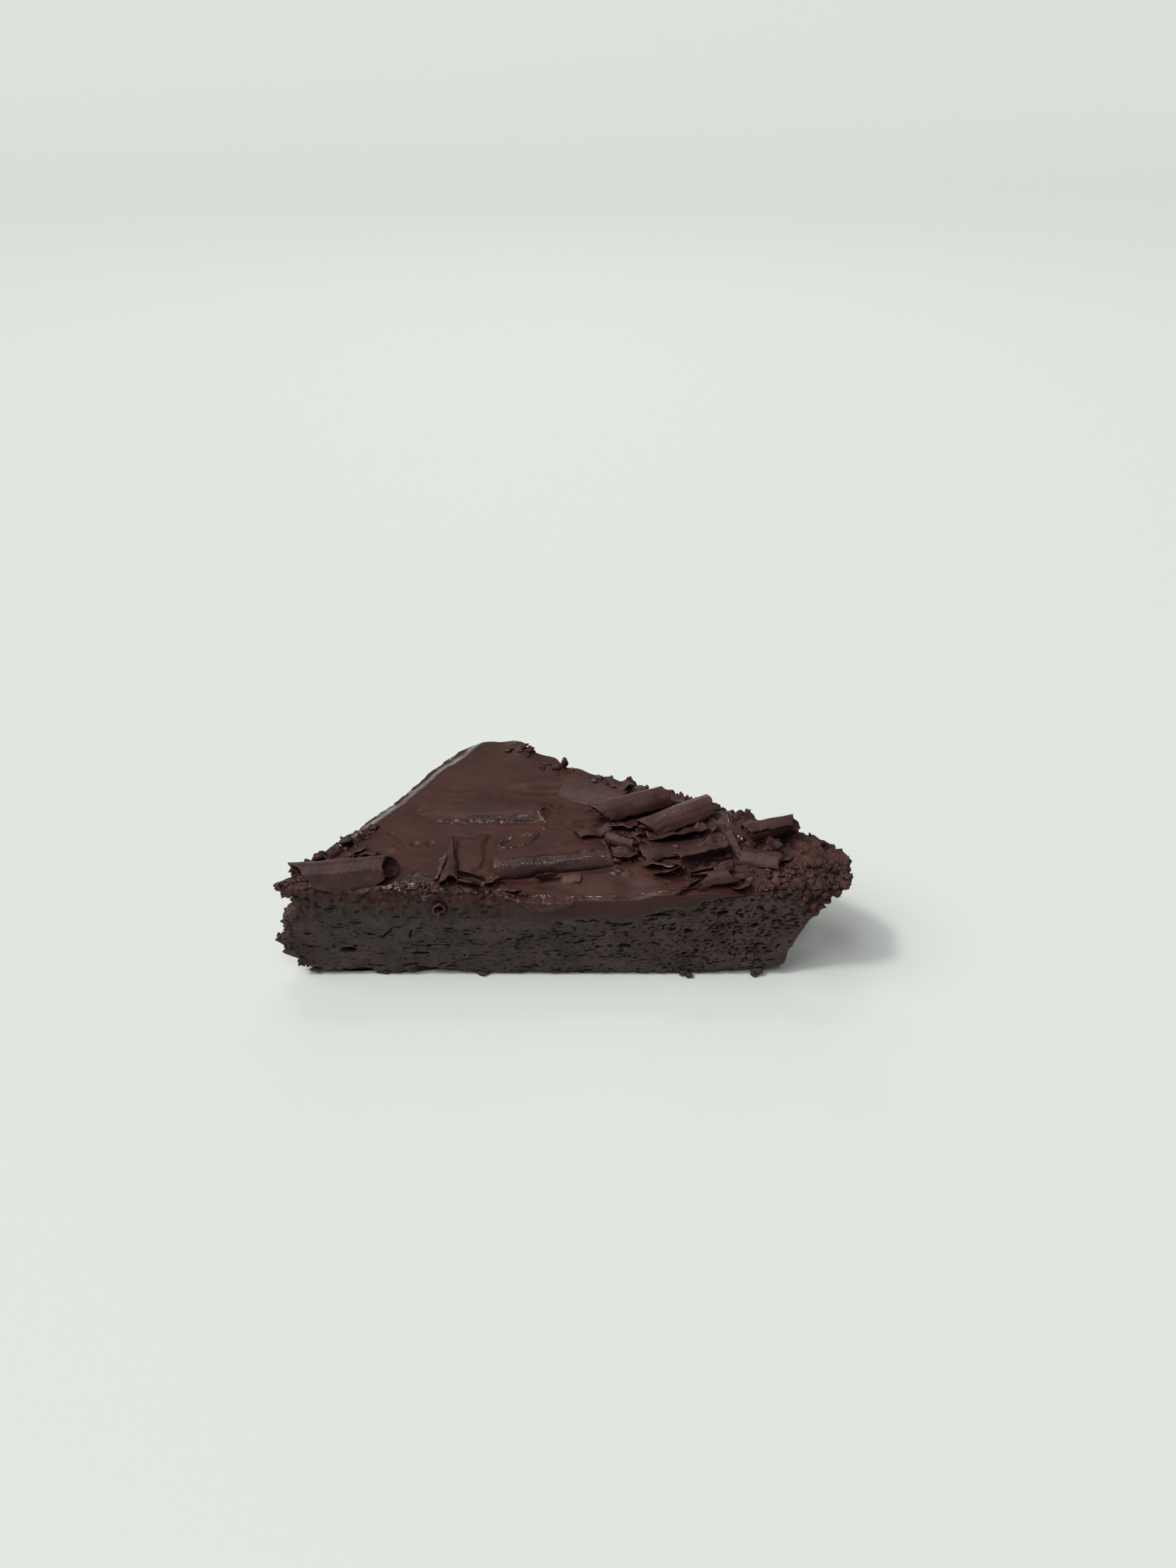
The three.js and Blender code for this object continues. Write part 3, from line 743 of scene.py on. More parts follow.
def ganacheTop(x, y):
    form = ganacheForm
    plan = slicePlan
    inFront = depthInside("front", x, y)
    inLeft = depthInside("left", x, y)
    level = plan["ganacheHeight"] + ramp(form["endSwell"], x) + ramp(form["backSwell"], y)
    level += curveAt(form["frontLevel"], x) * fade(0.5, 9, inFront) - ramp(form["frontDip"], inFront)
    level -= ramp(form["leftDip"], inLeft)
    level += form["waves"] * (lumps(x, y, 0, 9, 1) + lumps(x, y * 2, 4, 16, 2))
    level += form["spreadMarks"] * lumps(x * 0.3, y + 0.2 * x, 0, 1.9, 3) + form["lip"][2] * lipRidge(x, y)
    for cx, cy, radius, height in form["swells"]:
        level += height * bell(hypot(x - cx, y - cy) / radius)
    level = coatOver(x, y, level) + sheetEdges(x, y)
    away = ringAway(x, y)
    level += form["ringHeight"] * bell((away - 1) / 0.14) - 0.1 * fade(0.5, 0.95, away)
    level += form["arcHeight"] * arcRidge(x, y) + dimpleRelief(x, y)
    level -= 0.3 * bell(lineAway(x, y, form["seam"]) / 0.35)
    wet = max(0, wetAt(x, y) - lipRidge(x, y)) * ease(0.5, 2.5, inLeft)
    level += wet * layered(x, y, 0, form["wetRough"])
    under = spongeTop(x, y)
    thin = bareFront(x, y)
    level = mix(level, under - 0.2, thin)
    return max(level, under + mix(plan["layerGap"] + plan["thinnestGanache"], -0.2, thin))


# Height of the layer's lower edge, which runs down unevenly over the sponge on the front cut
def lowerEdge(x, y, onFront, right):
    form = ganacheForm
    under = spongeTop(x, y)
    drip = form["drip"] + layered(x, 0, 0, form["dripRagged"])
    hung = curveAt(form["underEdge"], x) + layered(x, 0, 0, form["underRagged"])
    hung = min(mix(under - drip, hung, right), under - 0.25)
    return mix(under + slicePlan["layerGap"], hung, onFront)


# A point on the layer's side, from its lower edge (share 0) to the top
def sidePoint(p, out, share):
    form = ganacheForm
    x, y = p
    onFront = fade(0, 2, depthInside("front", x, y))
    onLeft = fade(0.5, 3, depthInside("left", x, y)) * (1 - onFront)
    right = ease(-9, 1, x)
    high = ganacheTop(x, y)
    low = min(lowerEdge(x, y, onFront, right), high - 0.3)
    z = mix(low, high, sin(share * pi / 2))
    swell = form["bulge"] * sin(share * pi) - form["topRound"] * share ** 6
    # it stands over the sponge's face and sinks into it at the lower edge
    dragged = fade(-0.5, 1.5, z - spongeTop(x, y) + 0.8 * lumps(x, 0, z, 1.8, 3))
    sunk = fade(0, 0.6, z - low)
    swell += (mix(*form["stand"], right) * dragged - 0.6 * sunk) * onFront
    swell += 0.12 * lumps(x, y, z * 2, 2.4, 2) + 0.35 * lumps(x, y, z, 7, 4) * share
    fold = sum(stand * bell(ovalAway(x, z, oval)) for *oval, stand in form["folds"]) * onFront
    below = curveAt(form["tongue"], x) + 0.5 * lumps(x, 0, z, 1.2, 2)
    tongue = ease(-0.15, 0.45, z - below) * ease(-16, -13, x) * fade(2, 6, x) * onFront
    fold += form["tongueStand"] * tongue * (1 - 0.6 * ease(0.7, 1, share))
    # rough and pitted at the left of the front, with drag marks on the left side
    rugged = fade(-20, -8, x) * onFront
    coarse = mix(0.65, 0.4, ease(-50, -40, x))
    grain = 0.36 * lumps(x, y, z, 0.8, 2) + coarse * lumps(x, y, z, 1.9, 5)
    grain *= max(rugged, 0.8 * tongue)
    grain -= 0.7 * ease(0.25, 0.45, lumps(x, y, z * 1.8, 1.5, 8)) * rugged * ease(0.05, 0.3, share)
    grain += (0.5 * lumps(x, y, z * 2.5, 3.2, 6) + 0.22 * lumps(x, y, z, 1, 3)) * onLeft
    patch = inOvals(x, z, (form["tornPatch"],), 0.5 * lumps(x, 0, z, 1.5, 2), (0.5, 1.3))
    grain -= (0.7 + 0.5 * lumps(x, 0, z, 1.1, 7)) * patch * onFront
    holeX, holeZ, radius, depth = form["tubeHole"]
    hole = depth * fade(0.8, 1.05, hypot(x - holeX, z - holeZ) / radius) * onFront
    moved = p + out * (swell + fold + grain - hole) + tornReach(x, y, z, form["torn"])
    # the masks: wet, grey band and plain cut face
    wet = max(wetAt(x, y + 1.5) * ease(0.7, 0.95, share), min(0.3, fold), form["tongueWet"] * tongue)
    spread = share + 0.3 * lumps(x, 0, z * 1.4, 1.7, 3) + 0.2 * lumps(x, 0, z * 1.4, 0.8, 4)
    smear = form["leftGrey"] * (1 - patch) * fade(0.1, 0.8, spread)
    band = fade(0.9, 1.8, z - low + 0.9 * lumps(x, 0, z, 2.6, 3))
    greyBand = mix(smear, band, right) * fade(26, 34, x) * onFront
    cutFace = fade(0.6, 0.95, share) * (1 - tongue) * (1 - patch)
    return Vector((*moved, z)), (wet, greyBand, cutFace)


def buildGanache():
    form = ganacheForm
    edge = planRing(form["insets"], form["corners"], form["columns"], form["cornerColumns"])
    out = outwards(edge)
    columns = len(edge)
    middle = sum(edge, Vector((0, 0))) / columns
    # uneven outer edge towards the bare crust
    for i in range(columns):
        inLeft = depthInside("left", *edge[i])
        inFront = depthInside("front", *edge[i])
        onEnd = fade(16.5, 20, depthInside("end", *edge[i]))
        loose = max(ease(2, 8, inFront) * ease(2, 8, inLeft), onEnd * ease(0.5, 3, inFront))
        ragged = 2.4 * lumps(*edge[i], 0, 6, 8) + 1.2 * onEnd * lumps(*edge[i], 0, 2.2, 3)
        sag = form["leftSag"] * fade(-0.5, 2, inLeft) * ease(-20, 4, edge[i].y)
        edge[i] = edge[i] + out[i] * (ragged * loose + sag)
    out = outwards(edge)
    sideStart = 1 + len(form["underShares"])
    topStart = sideStart + form["sideRows"]
    lastRow = topStart + form["topRows"]

    def place(column, row):
        if row < sideStart:
            share = form["underShares"][row - 1] if row else 0
            p = middle.lerp(edge[column], share)
            return Vector((*p, spongeTop(*p) + slicePlan["layerGap"])), (0, 0, 0)
        if row < topStart:
            return sidePoint(edge[column], out[column], (row - sideStart) / form["sideRows"])
        if row == lastRow:
            return Vector((*middle, ganacheTop(*middle))), (0, 0, 0)
        share = 1 - (row - topStart) / form["topRows"]
        p = middle.lerp(edge[column] - out[column] * 0.9, share ** 1.1)
        z = ganacheTop(*p)
        moved = p + tornReach(*p, z, form["torn"])
        z += 0.8 * lumps(*p, 0, 1.2, 4) * tornShare(*p)
        return Vector((*moved, z)), (wetAt(*p), 0, 0)

    piece = wrapGrid("ganachelayer", columns, lastRow, place)
    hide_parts("ganache")
    return piece


# Height of what lies on top at a place: ganache, or bare crust outside its edge
def surfaceAt(x, y):
    endInset = ganacheForm["insets"]["end"][0]
    rearInset = mix(*ganacheForm["insets"]["rear"], ease(62, -22, x))
    covered = depthInside("rear", x, y) > rearInset + 1.5 and depthInside("end", x, y) > endInset + 1
    if covered and bareFront(x, y) < 0.6:
        return ganacheTop(x, y)
    return spongeTop(x, y) + crustCrags(x, y)[0] * bareTop(x, y)


# Flakes: small bent sheets, all in one mesh. Each has a place in plan, a length and width, a
# heading, a pitch along its length, a tilt across it and the angle that it is bent through.
# A last value sets the height of its middle, where it doesn't lie on top.
flakeForms = (
    # heap towards the baked end
    (12.5, -6.3, 8, 4.4, -3, 3, -24, 40), (5, -7.4, 8.5, 5.4, 12, 2, -20, 130),
    (24.2, -11.2, 14, 7, 14, 2, -12, -60), (37.3, -6.5, 9, 2.4, 104, 24, 35, 50),
    (35, -11.6, 8.5, 2.4, 132, 22, 40, 60), (36.2, -16, 9, 2.4, 108, 22, -30, 50),
    (33.8, -2.8, 4.5, 3, 20, 0, 20, 160), (38, -3.4, 5, 2.6, 40, 10, 10, 110),
    (12.2, -17.6, 5.8, 3.4, 2, 4, 8, -110), (20.2, -20.4, 9, 4.6, -18, 4, -28, 40),
    (21.4, -22.6, 6.5, 3.4, 14, 8, -40, 30), (41.2, -18.4, 7.5, 3.6, -12, 6, -30, 100, 28),
    (44.6, -15.6, 6.5, 2.2, -58, 10, 60, 50), (24.4, -27.4, 8, 2.2, 34, 8, -50, 40),
    (37.2, -26.6, 4.5, 3.2, 20, 6, -45, 30), (30.5, -15.8, 6.5, 3.6, 40, 8, 25, 70),
    (16.8, -13.2, 6, 3.4, -35, 5, -20, 60), (28.2, -24.2, 6, 2.6, -8, 4, -42, 60),
    (33.2, -22.6, 5.5, 2.8, 25, 6, 30, 80), (40.8, -14.2, 5, 3, 52, 12, 25, 90),
    (46.8, -19.2, 5, 2.4, 15, 4, -35, 60), (19.6, -16.4, 5.5, 2.6, 65, 10, 30, 70),
    (31.4, -7.2, 6, 3.2, -60, 4, 20, 80), (44, -8.4, 6.5, 3, 20, 5, -25, 90),
    (26.8, -6, 7, 3.4, 30, 2, -50, 60), (15.2, -9.8, 5.5, 3, 22, 6, -30, 70),
    # rear edge
    (11.6, 9.4, 6.5, 4.2, -18, 4, -15, 50), (17.6, 5.6, 6, 3.4, 10, 8, -35, 60),
    (4, 15.6, 6, 3.2, -28, 6, -20, 60), (25.4, 3.4, 5, 2.8, -20, 8, 20, 80),
    (8, 13.6, 5, 3, 15, 10, 20, 60),
    # front edge
    (0.4, -23, 4.6, 2.4, 4, 12, 26, 12, 24.3), (-22, -26.4, 5.2, 4.4, -8, 4, -52, 24, 26),
    (-28.2, -21.6, 8, 2.6, 76, 20, -50, 60), (-21.4, -24.2, 7.2, 2, -26, 4, -70, 30),
    (-27.4, -27.2, 4.6, 3.2, 24, 4, -40, 150, 25), (-30.2, -28.2, 4.2, 2.2, 10, 0, -70, 50, 23.4),
    (-5, -22.9, 5, 2.6, 8, 2, -60, 40), (-12.6, -26.8, 4.4, 2.4, -14, 6, -45, 50, 24.2),
    (-33.6, -26.4, 5, 2.6, 14, 4, -30, 70, 25.2), (-16.8, -25.2, 3.6, 2.4, 40, 10, -40, 60, 25.6),
    # left edge
    (-52.4, -15.8, 4.4, 2.8, 50, 8, 30, 80, 26.2), (-49.6, -10.4, 3.8, 2.2, 30, 20, 10, 70),
    (-47.2, -15.4, 5, 2.2, 30, 6, -30, 70, 26.2), (-45, -16.2, 4.6, 2, 5, 4, -25, 60, 26),
)
# Shards are scattered between them, most in the heap and each sixth along the left edge
shardForm = {
    "count": 130,
    "sizes": (1.2, 3.6),
    "seed": 14,
    "thickness": 0.22,
    "faceSize": (0.6, 0.45),
    "heapRise": 1.4,  # the middle of a flake on top is this far above the surface
    "paleOne": (0.4, -23),
    "pale": (0.4, 0.5),  # how pale that one is, and each eleventh shard
    "wet": (0.8, 0.1),  # each third one, and the others
    "heapX": (9, 47),
    "leftX": (-58, -45),
    "leftY": (-22, -6),
}


# A flat sheet is broken off along four lines, then bent, thickened and put in its place
def addFlake(bm, spec, seed, wet, pale):
    x, y, z, length, width, heading, pitch, tilt, bend = spec
    sheet = bmesh.new()
    faceLong, faceWide = shardForm["faceSize"]
    columns, rows = max(5, round(length / faceLong)), max(5, round(width / faceWide))
    bmesh.ops.create_grid(sheet, x_segments=columns, y_segments=rows, size=0.5)
    bmesh.ops.scale(sheet, vec=(length, width, 1), verts=sheet.verts)
    for k in range(4):
        angle = 0.4 + k * 1.57 + 0.75 * sin(seed * 7.3 + k * 2.1)
        side = Vector((cos(angle), sin(angle), 0))
        reach = (abs(side.x) * length + abs(side.y) * width) / 2
        reach *= 0.78 + 0.16 * sin(seed * 3.1 + k * 4.7)
        whole = sheet.verts[:] + sheet.edges[:] + sheet.faces[:]
        bmesh.ops.bisect_plane(sheet, geom=whole, plane_co=side * reach, plane_no=side, clear_outer=True)
    bmesh.ops.remove_doubles(sheet, verts=sheet.verts, dist=0.16)
    faceOutwards(sheet)
    look = lookLayer(sheet)
    spin = Matrix.Rotation(radians(heading), 4, "Z") @ Matrix.Rotation(radians(-pitch), 4, "Y")
    place = Matrix.Translation((x, y, z)) @ spin @ Matrix.Rotation(radians(tilt), 4, "X")
    radius = width / radians(bend)
    for v in sheet.verts:
        v[look] = (1 if v.is_boundary else 0, pale, wet, 1)
        a, b = v.co.x, v.co.y
        a += 0.1 * noiseAt(a * 2.5, b * 2.5, seed * 3.7)
        b += 0.1 * noiseAt(b * 2.5, a * 2.5, seed * 2.9)
        wave = 0.16 * width * noiseAt(a / width * 2.2, b / width * 2.2, seed * 1.9)
        wave += 0.18 * width * abs(noiseAt(a / width * 1.1, b / width * 1.1, seed * 2.3))
        phi = b / radius
        v.co = place @ Vector((a, radius * sin(phi), wave - radius * (1 - cos(phi))))
    bmesh.ops.solidify(sheet, geom=sheet.faces[:], thickness=shardForm["thickness"])
    faceOutwards(sheet)
    mesh = bpy.data.meshes.new("flake")
    sheet.to_mesh(mesh)
    sheet.free()
    bm.from_mesh(mesh)
    bpy.data.meshes.remove(mesh)


def buildFlakes():
    form = shardForm
    random.seed(form["seed"])
    bm = bmesh.new()
    for index, flake in enumerate(flakeForms):
        x, y = flake[:2]
        z = flake[8] if len(flake) > 8 else surfaceAt(x, y) + form["heapRise"]
        pale = form["pale"][0] if (x, y) == form["paleOne"] else 0
        addFlake(bm, (x, y, z, *flake[2:8]), index + 1, form["wet"][index % 3 > 0], pale)
    for index in range(form["count"]):
        if index % 6 == 5:
            share = random.random()
            x = mix(*form["leftX"], share)
            y = mix(*form["leftY"], share) - random.uniform(0.5, 4)
        else:
            x = random.uniform(*form["heapX"])
            y = random.uniform(mix(-17.5, -25.5, ease(12, 30, x)), 2 - 0.3 * (x - form["heapX"][0]))
        z = surfaceAt(x, y) + random.uniform(-0.3, 0.8 if x > form["heapX"][0] else 0.5)
        size = random.uniform(*form["sizes"])
        spec = (x, y, z, size * random.uniform(1, 2.2), size, random.uniform(0, 360), random.uniform(-20, 20),
                random.uniform(-50, 50), random.uniform(20, 110))
        pale = form["pale"][1] if index % 11 == 0 else 0
        addFlake(bm, spec, index + 101, form["wet"][index % 3 > 0], pale)
    piece = finishMesh(bm, "chocolateflakes")
    return piece


# Small craggy lumps start as a cube cut into small faces
def lumpBlock():
    bm = bmesh.new()
    bmesh.ops.create_cube(bm, size=2)
    bmesh.ops.subdivide_edges(bm, edges=bm.edges, cuts=2, use_grid_fill=True)
    block = bpy.data.meshes.new("lump")
    bm.to_mesh(block)
    bm.free()
    return block


block = lumpBlock()


# A lump has rounded sides and an uneven skin, and stays above the floor
def addLump(bm, look, place, halves, seed, masks):
    count = len(bm.verts)
    bm.from_mesh(block)
    bm.verts.ensure_lookup_table()
    spin = Euler((seed * 1.3, seed * 2.1, seed * 0.7)).to_matrix()
    for v in bm.verts[count:]:
        rounded = v.co.normalized().lerp(v.co, 0.25)
        bump = 0.85 + 0.55 * noise.noise(v.co * 1.1 + Vector((seed * 5.1, seed, 0)))
        bump += 0.4 * noise.noise(v.co * 2.7 + Vector((seed, seed * 3.3, 0)))
        offset = spin @ (rounded * bump)
        v.co = place + Vector((offset.x * halves[0], offset.y * halves[1], offset.z * halves[2]))
        v.co.z = max(v.co.z, 0)
        v[look] = (*masks, 1)


# Crumbs: on the lip, at the torn tip and a few at the base
crumbForm = {
    "seed": 5,
    "lip": 520,
    "end": 230,
    "tip": 70,
    "sizes": (0.2, 0.6),
    "endSizes": (0.35, 0.95),
    "lipHeight": 17,
    "lipDepth": 8,  # how far in from the rear they lie
    "lipStart": 36,  # from this x they lie at any depth
    "endStart": 45,
    # crumbs along the ganache's edge at the baked end: how many, and ranges of x and y
    "edge": 60,
    "edgeX": (42.5, 47.5),
    "edgeY": (-27.2, -15),
    # larger crumbs that stick out of the torn tip, the base and the lip: x, y, z and three half sizes
    "large": ((-61.4, -26.6, 25.4, 1.3, 1.1, 0.9), (-60.4, -27, 24.2, 1.2, 1, 0.8),
        (-62.3, -27, 24.8, 0.9, 0.8, 0.7), (-60.2, -25.8, 25.9, 1, 0.9, 0.6),
        (-60.8, -26.6, 22.8, 1.3, 1.1, 0.9), (-57.6, -27.2, 1.3, 1.4, 0.9, 0.7),
        (-42, -27.2, 0.7, 2, 0.9, 0.6), (-19.9, -27.6, 0.6, 1.6, 0.9, 0.6),
        (26.8, -28.6, 0.7, 0.9, 0.8, 0.7), (25.6, -27.8, 1, 1.2, 1, 0.8), (42.5, -27.7, 1.4, 1.4, 1, 0.9),
        (41.6, -28.3, 0.6, 0.8, 0.7, 0.6), (55.3, -27.2, 21.6, 1.2, 1, 0.9),
        (57.2, -26.4, 23.2, 1.4, 1.1, 1), (54.6, -27.2, 20, 1, 0.9, 0.9), (58.9, -24.8, 24, 1.2, 1.1, 1),
        (58.9, -27, 26, 1.3, 1, 0.9)),
}


def buildCrumbs(sponge):
    form = crumbForm
    random.seed(form["seed"])
    bm = bmesh.new()
    look = lookLayer(bm)
    masks = sponge.data.attributes["look"].data
    crust = [v.co / mm for v in sponge.data.vertices if masks[v.index].color[1] > 0.25]
    high = [p for p in crust if p.z > form["lipHeight"]]
    lip = [p for p in high if p.x > form["lipStart"] or depthInside("rear", p.x, p.y) < form["lipDepth"]]
    end = [p for p in lip if p.x > form["endStart"]]
    tip = [p for p in crust if p.x < -57 and p.z > 2]
    places = []
    for spots, kind in ((end, "end"), (lip, "lip"), (tip, "tip")):
        places += random.sample(spots, form[kind])
    for index, place in enumerate(places):
        size = random.uniform(*form["endSizes" if index < form["end"] else "sizes"])
        halves = [size * random.uniform(0.7, 1.2) for _ in range(3)]
        baked = random.uniform(0.5, 0.95) if place.x > -40 else mix(0.25, 0.7, ease(16, 22, place.z))
        addLump(bm, look, place, halves, random.uniform(0, 50), (0, baked, 0))
    for index in range(form["edge"]):
        x, y = random.uniform(*form["edgeX"]), random.uniform(*form["edgeY"])
        size = random.uniform(*form["endSizes"])
        halves = [size, 0.9 * size, 0.7 * size]
        baked = random.uniform(0.4, 0.9)
        addLump(bm, look, Vector((x, y, surfaceAt(x, y))), halves, index * 2.3 + 4, (0, baked, 0))
    for index, (x, y, z, *halves) in enumerate(form["large"]):
        addLump(bm, look, Vector((x, y, z)), halves, index * 1.7 + 2, (0, mix(0.3, 0.8, ease(2, 22, z)), 0))
    faceOutwards(bm)
    piece = finishMesh(bm, "browniecrumbs")
    return piece


# Broken bits of chocolate pressed into the top, thickest along its edges
bitForm = {
    "seed": 9,
    # patches of bits: start, stop, spread to each side, count, smallest and largest half size
    "lines": (((-60, -23), (-46, -7), 1.6, 46, 0.35, 1.1), ((-36, -27.2), (-9, -27), 0.9, 60, 0.25, 0.75),
        ((-60, -27), (-46, -27.2), 0.6, 14, 0.25, 0.6), ((10, -14), (46, -16), 5, 60, 0.3, 0.9),
        ((20, -23), (46, -23), 2.4, 34, 0.25, 0.7), ((-8, 19), (34, -1.5), 1.8, 46, 0.35, 1.1),
        ((-17, 25), (-10, 23.5), 1.5, 8, 0.4, 0.9), ((-61.5, -27), (-56, -25), 0.7, 22, 0.3, 0.8)),
    "stretch": ((0.6, 1.5), (0.6, 1.3), (0.4, 0.9)),
    # larger ones: x, y, z and three half sizes
    "large": ((-1.8, 18.2, 27.2, 0.9, 0.8, 1.7), (-13.4, 25.6, 27.5, 2.2, 1.6, 0.7),
        (-11, 24.4, 27.2, 1.6, 1.4, 0.7), (-59.4, -22, 26, 1.3, 1.2, 0.8),
        (-55.4, -18, 26.4, 1.5, 1.2, 0.9), (-50.6, -12.4, 26.6, 1.6, 1.3, 0.9),
        (-21.6, -27.2, 24.4, 1.5, 0.9, 1.1), (-30.6, -27.8, 23.4, 1.2, 0.7, 1),
        (-17, -28, 21.8, 1.3, 0.7, 0.8), (48.8, -27.4, 26.2, 2, 0.9, 1.7)),
    "largeWet": 0.3,
}


def buildBits():
    form = bitForm
    random.seed(form["seed"])
    bm = bmesh.new()
    look = lookLayer(bm)
    for first, last, spread, count, smallest, largest in form["lines"]:
        for _ in range(count):
            place = Vector(first).lerp(Vector(last), random.random())
            place += Vector((random.uniform(-spread, spread), random.uniform(-spread, spread)))
            size = mix(smallest, largest, random.random() ** 2)
            z = surfaceAt(*place) + random.uniform(-0.3, 0.5) * size
            halves = [size * random.uniform(*stretch) for stretch in form["stretch"]]
            seed = random.uniform(0, 50)
            addLump(bm, look, Vector((*place, z)), halves, seed, (0, 0, random.random()))
    for index, (x, y, z, *halves) in enumerate(form["large"]):
        addLump(bm, look, Vector((x, y, z)), halves, index * 1.9 + 3, (0, 0, form["largeWet"]))
    faceOutwards(bm)
    piece = finishMesh(bm, "chocolatebits")
    return piece


# Materials
def srgb(r, g, b):
    def linear(value):
        value /= 255
        return value / 12.92 if value <= 0.04045 else ((value + 0.055) / 1.055) ** 2.4
    return (linear(r), linear(g), linear(b), 1)


def newMaterial(name):
    material = bpy.data.materials.new(name)
    material.use_nodes = True
    tree = material.node_tree
    return material, tree, tree.nodes["Principled BSDF"]


def addNode(tree, kind, **values):
    node = tree.nodes.new(kind)
    for key, value in values.items():
        if key in node.inputs:
            node.inputs[key].default_value = value
        else:
            setattr(node, key, value)
    return node


# A socket takes either a link or a plain value
def plug(tree, value, socket):
    if hasattr(value, "links"):
        tree.links.new(value, socket)
    else:
        socket.default_value = value


def setInputs(tree, node, values):
    for name, value in values.items():
        plug(tree, value, node.inputs[name])


# Shared grain: noise on object coordinates that gives a fine height and a mottling mask
def grainGroup():
    tree = bpy.data.node_groups.new("chocolateGrain", "ShaderNodeTree")
    for inOut, names in (("INPUT", ("Size", "Mottle size")), ("OUTPUT", ("Height", "Mottle"))):
        for name in names:
            tree.interface.new_socket(name, in_out=inOut, socket_type="NodeSocketFloat")
    link = tree.links.new
    entry = tree.nodes.new("NodeGroupInput")
    leave = tree.nodes.new("NodeGroupOutput")
    where = tree.nodes.new("ShaderNodeTexCoord")
    fine = addNode(tree, "ShaderNodeTexNoise", Detail=4, Roughness=0.65)
    coarse = addNode(tree, "ShaderNodeTexNoise", Detail=5, Roughness=0.6)
    for texture, size, result in ((fine, "Size", "Height"), (coarse, "Mottle size", "Mottle")):
        link(where.outputs["Object"], texture.inputs["Vector"])
        link(entry.outputs[size], texture.inputs["Scale"])
        link(texture.outputs["Fac"], leave.inputs[result])
    return tree


chocolateGrain = grainGroup()


def placeGrain(tree, size, mottleSize):
    node = tree.nodes.new("ShaderNodeGroup")
    node.node_tree = chocolateGrain
    setInputs(tree, node, {"Size": size, "Mottle size": mottleSize})
    return node.outputs["Height"], node.outputs["Mottle"]


def lookMasks(tree):
    attribute = addNode(tree, "ShaderNodeAttribute", attribute_name="look")
    split = tree.nodes.new("ShaderNodeSeparateColor")
    tree.links.new(attribute.outputs["Color"], split.inputs["Color"])
    return split.outputs["Red"], split.outputs["Green"], split.outputs["Blue"]


def mixColours(tree, share, first, second):
    node = addNode(tree, "ShaderNodeMix", data_type="RGBA")
    for value, index in ((share, 0), (first, 6), (second, 7)):
        plug(tree, value, node.inputs[index])
    return node.outputs[2]


def remap(tree, value, low, high, toLow, toHigh):
    node = addNode(tree, "ShaderNodeMapRange")
    for index, number in enumerate((value, low, high, toLow, toHigh)):
        plug(tree, number, node.inputs[index])
    return node.outputs[0]


def maths(tree, operation, first, second):
    node = addNode(tree, "ShaderNodeMath", operation=operation)
    plug(tree, first, node.inputs[0])
    plug(tree, second, node.inputs[1])
    return node.outputs[0]


def addBump(tree, shader, height, look):
    bump = addNode(tree, "ShaderNodeBump", Strength=look["bump"], Distance=look["bumpDepth"])
    tree.links.new(height, bump.inputs["Height"])
    tree.links.new(bump.outputs["Normal"], shader.inputs["Normal"])


# Small specks of a wet surface are far smoother: 1 outside them, a small share on them
def wetSpecks(tree, wet, height):
    specks = remap(tree, height, 0.52, 0.58, 0, 1)
    specks = maths(tree, "MULTIPLY", specks, remap(tree, wet, 0.25, 0.6, 0, 1))
    return remap(tree, specks, 0, 1, 1, 0.3)


# Gloss of ganache and chocolate: rough, less so where wet, with a coat on the wettest spots
def addGloss(tree, shader, rough, wet, height, look):
    rough = maths(tree, "SUBTRACT", rough, remap(tree, wet, 0, 1, 0, 0.2))
    rough = maths(tree, "MULTIPLY", rough, wetSpecks(tree, wet, height))
    setInputs(tree, shader, {"Roughness": rough, "Specular IOR Level": look["specular"],
        "Coat Weight": remap(tree, wet, *look["coat"]), "Coat Roughness": look["coatRoughness"]})
    addBump(tree, shader, maths(tree, "MULTIPLY", height, remap(tree, wet, 0, 1, *look["wetBump"])), look)


spongeLook = {
    "cut": srgb(56, 46, 45),
    "cutPale": srgb(76, 63, 60),
    # painted shade for the pores, the crust's pits and the fine slits
    "hollowShade": srgb(15, 11, 10),
    "crust": srgb(106, 68, 57),
    "crustDark": srgb(60, 40, 36),
    "smear": srgb(72, 61, 56),
    "smearDark": srgb(60, 50, 46),
    "crustSmear": srgb(78, 50, 41),
    "grain": (1900, 190),
    "slits": (620, 620, 2300),
    "crumbs": 1100,
    "roughness": 0.72,
    "smearRoughness": 0.5,
    "specular": 0.25,
    "bump": 0.55,
    "bumpDepth": 0.0004,
}


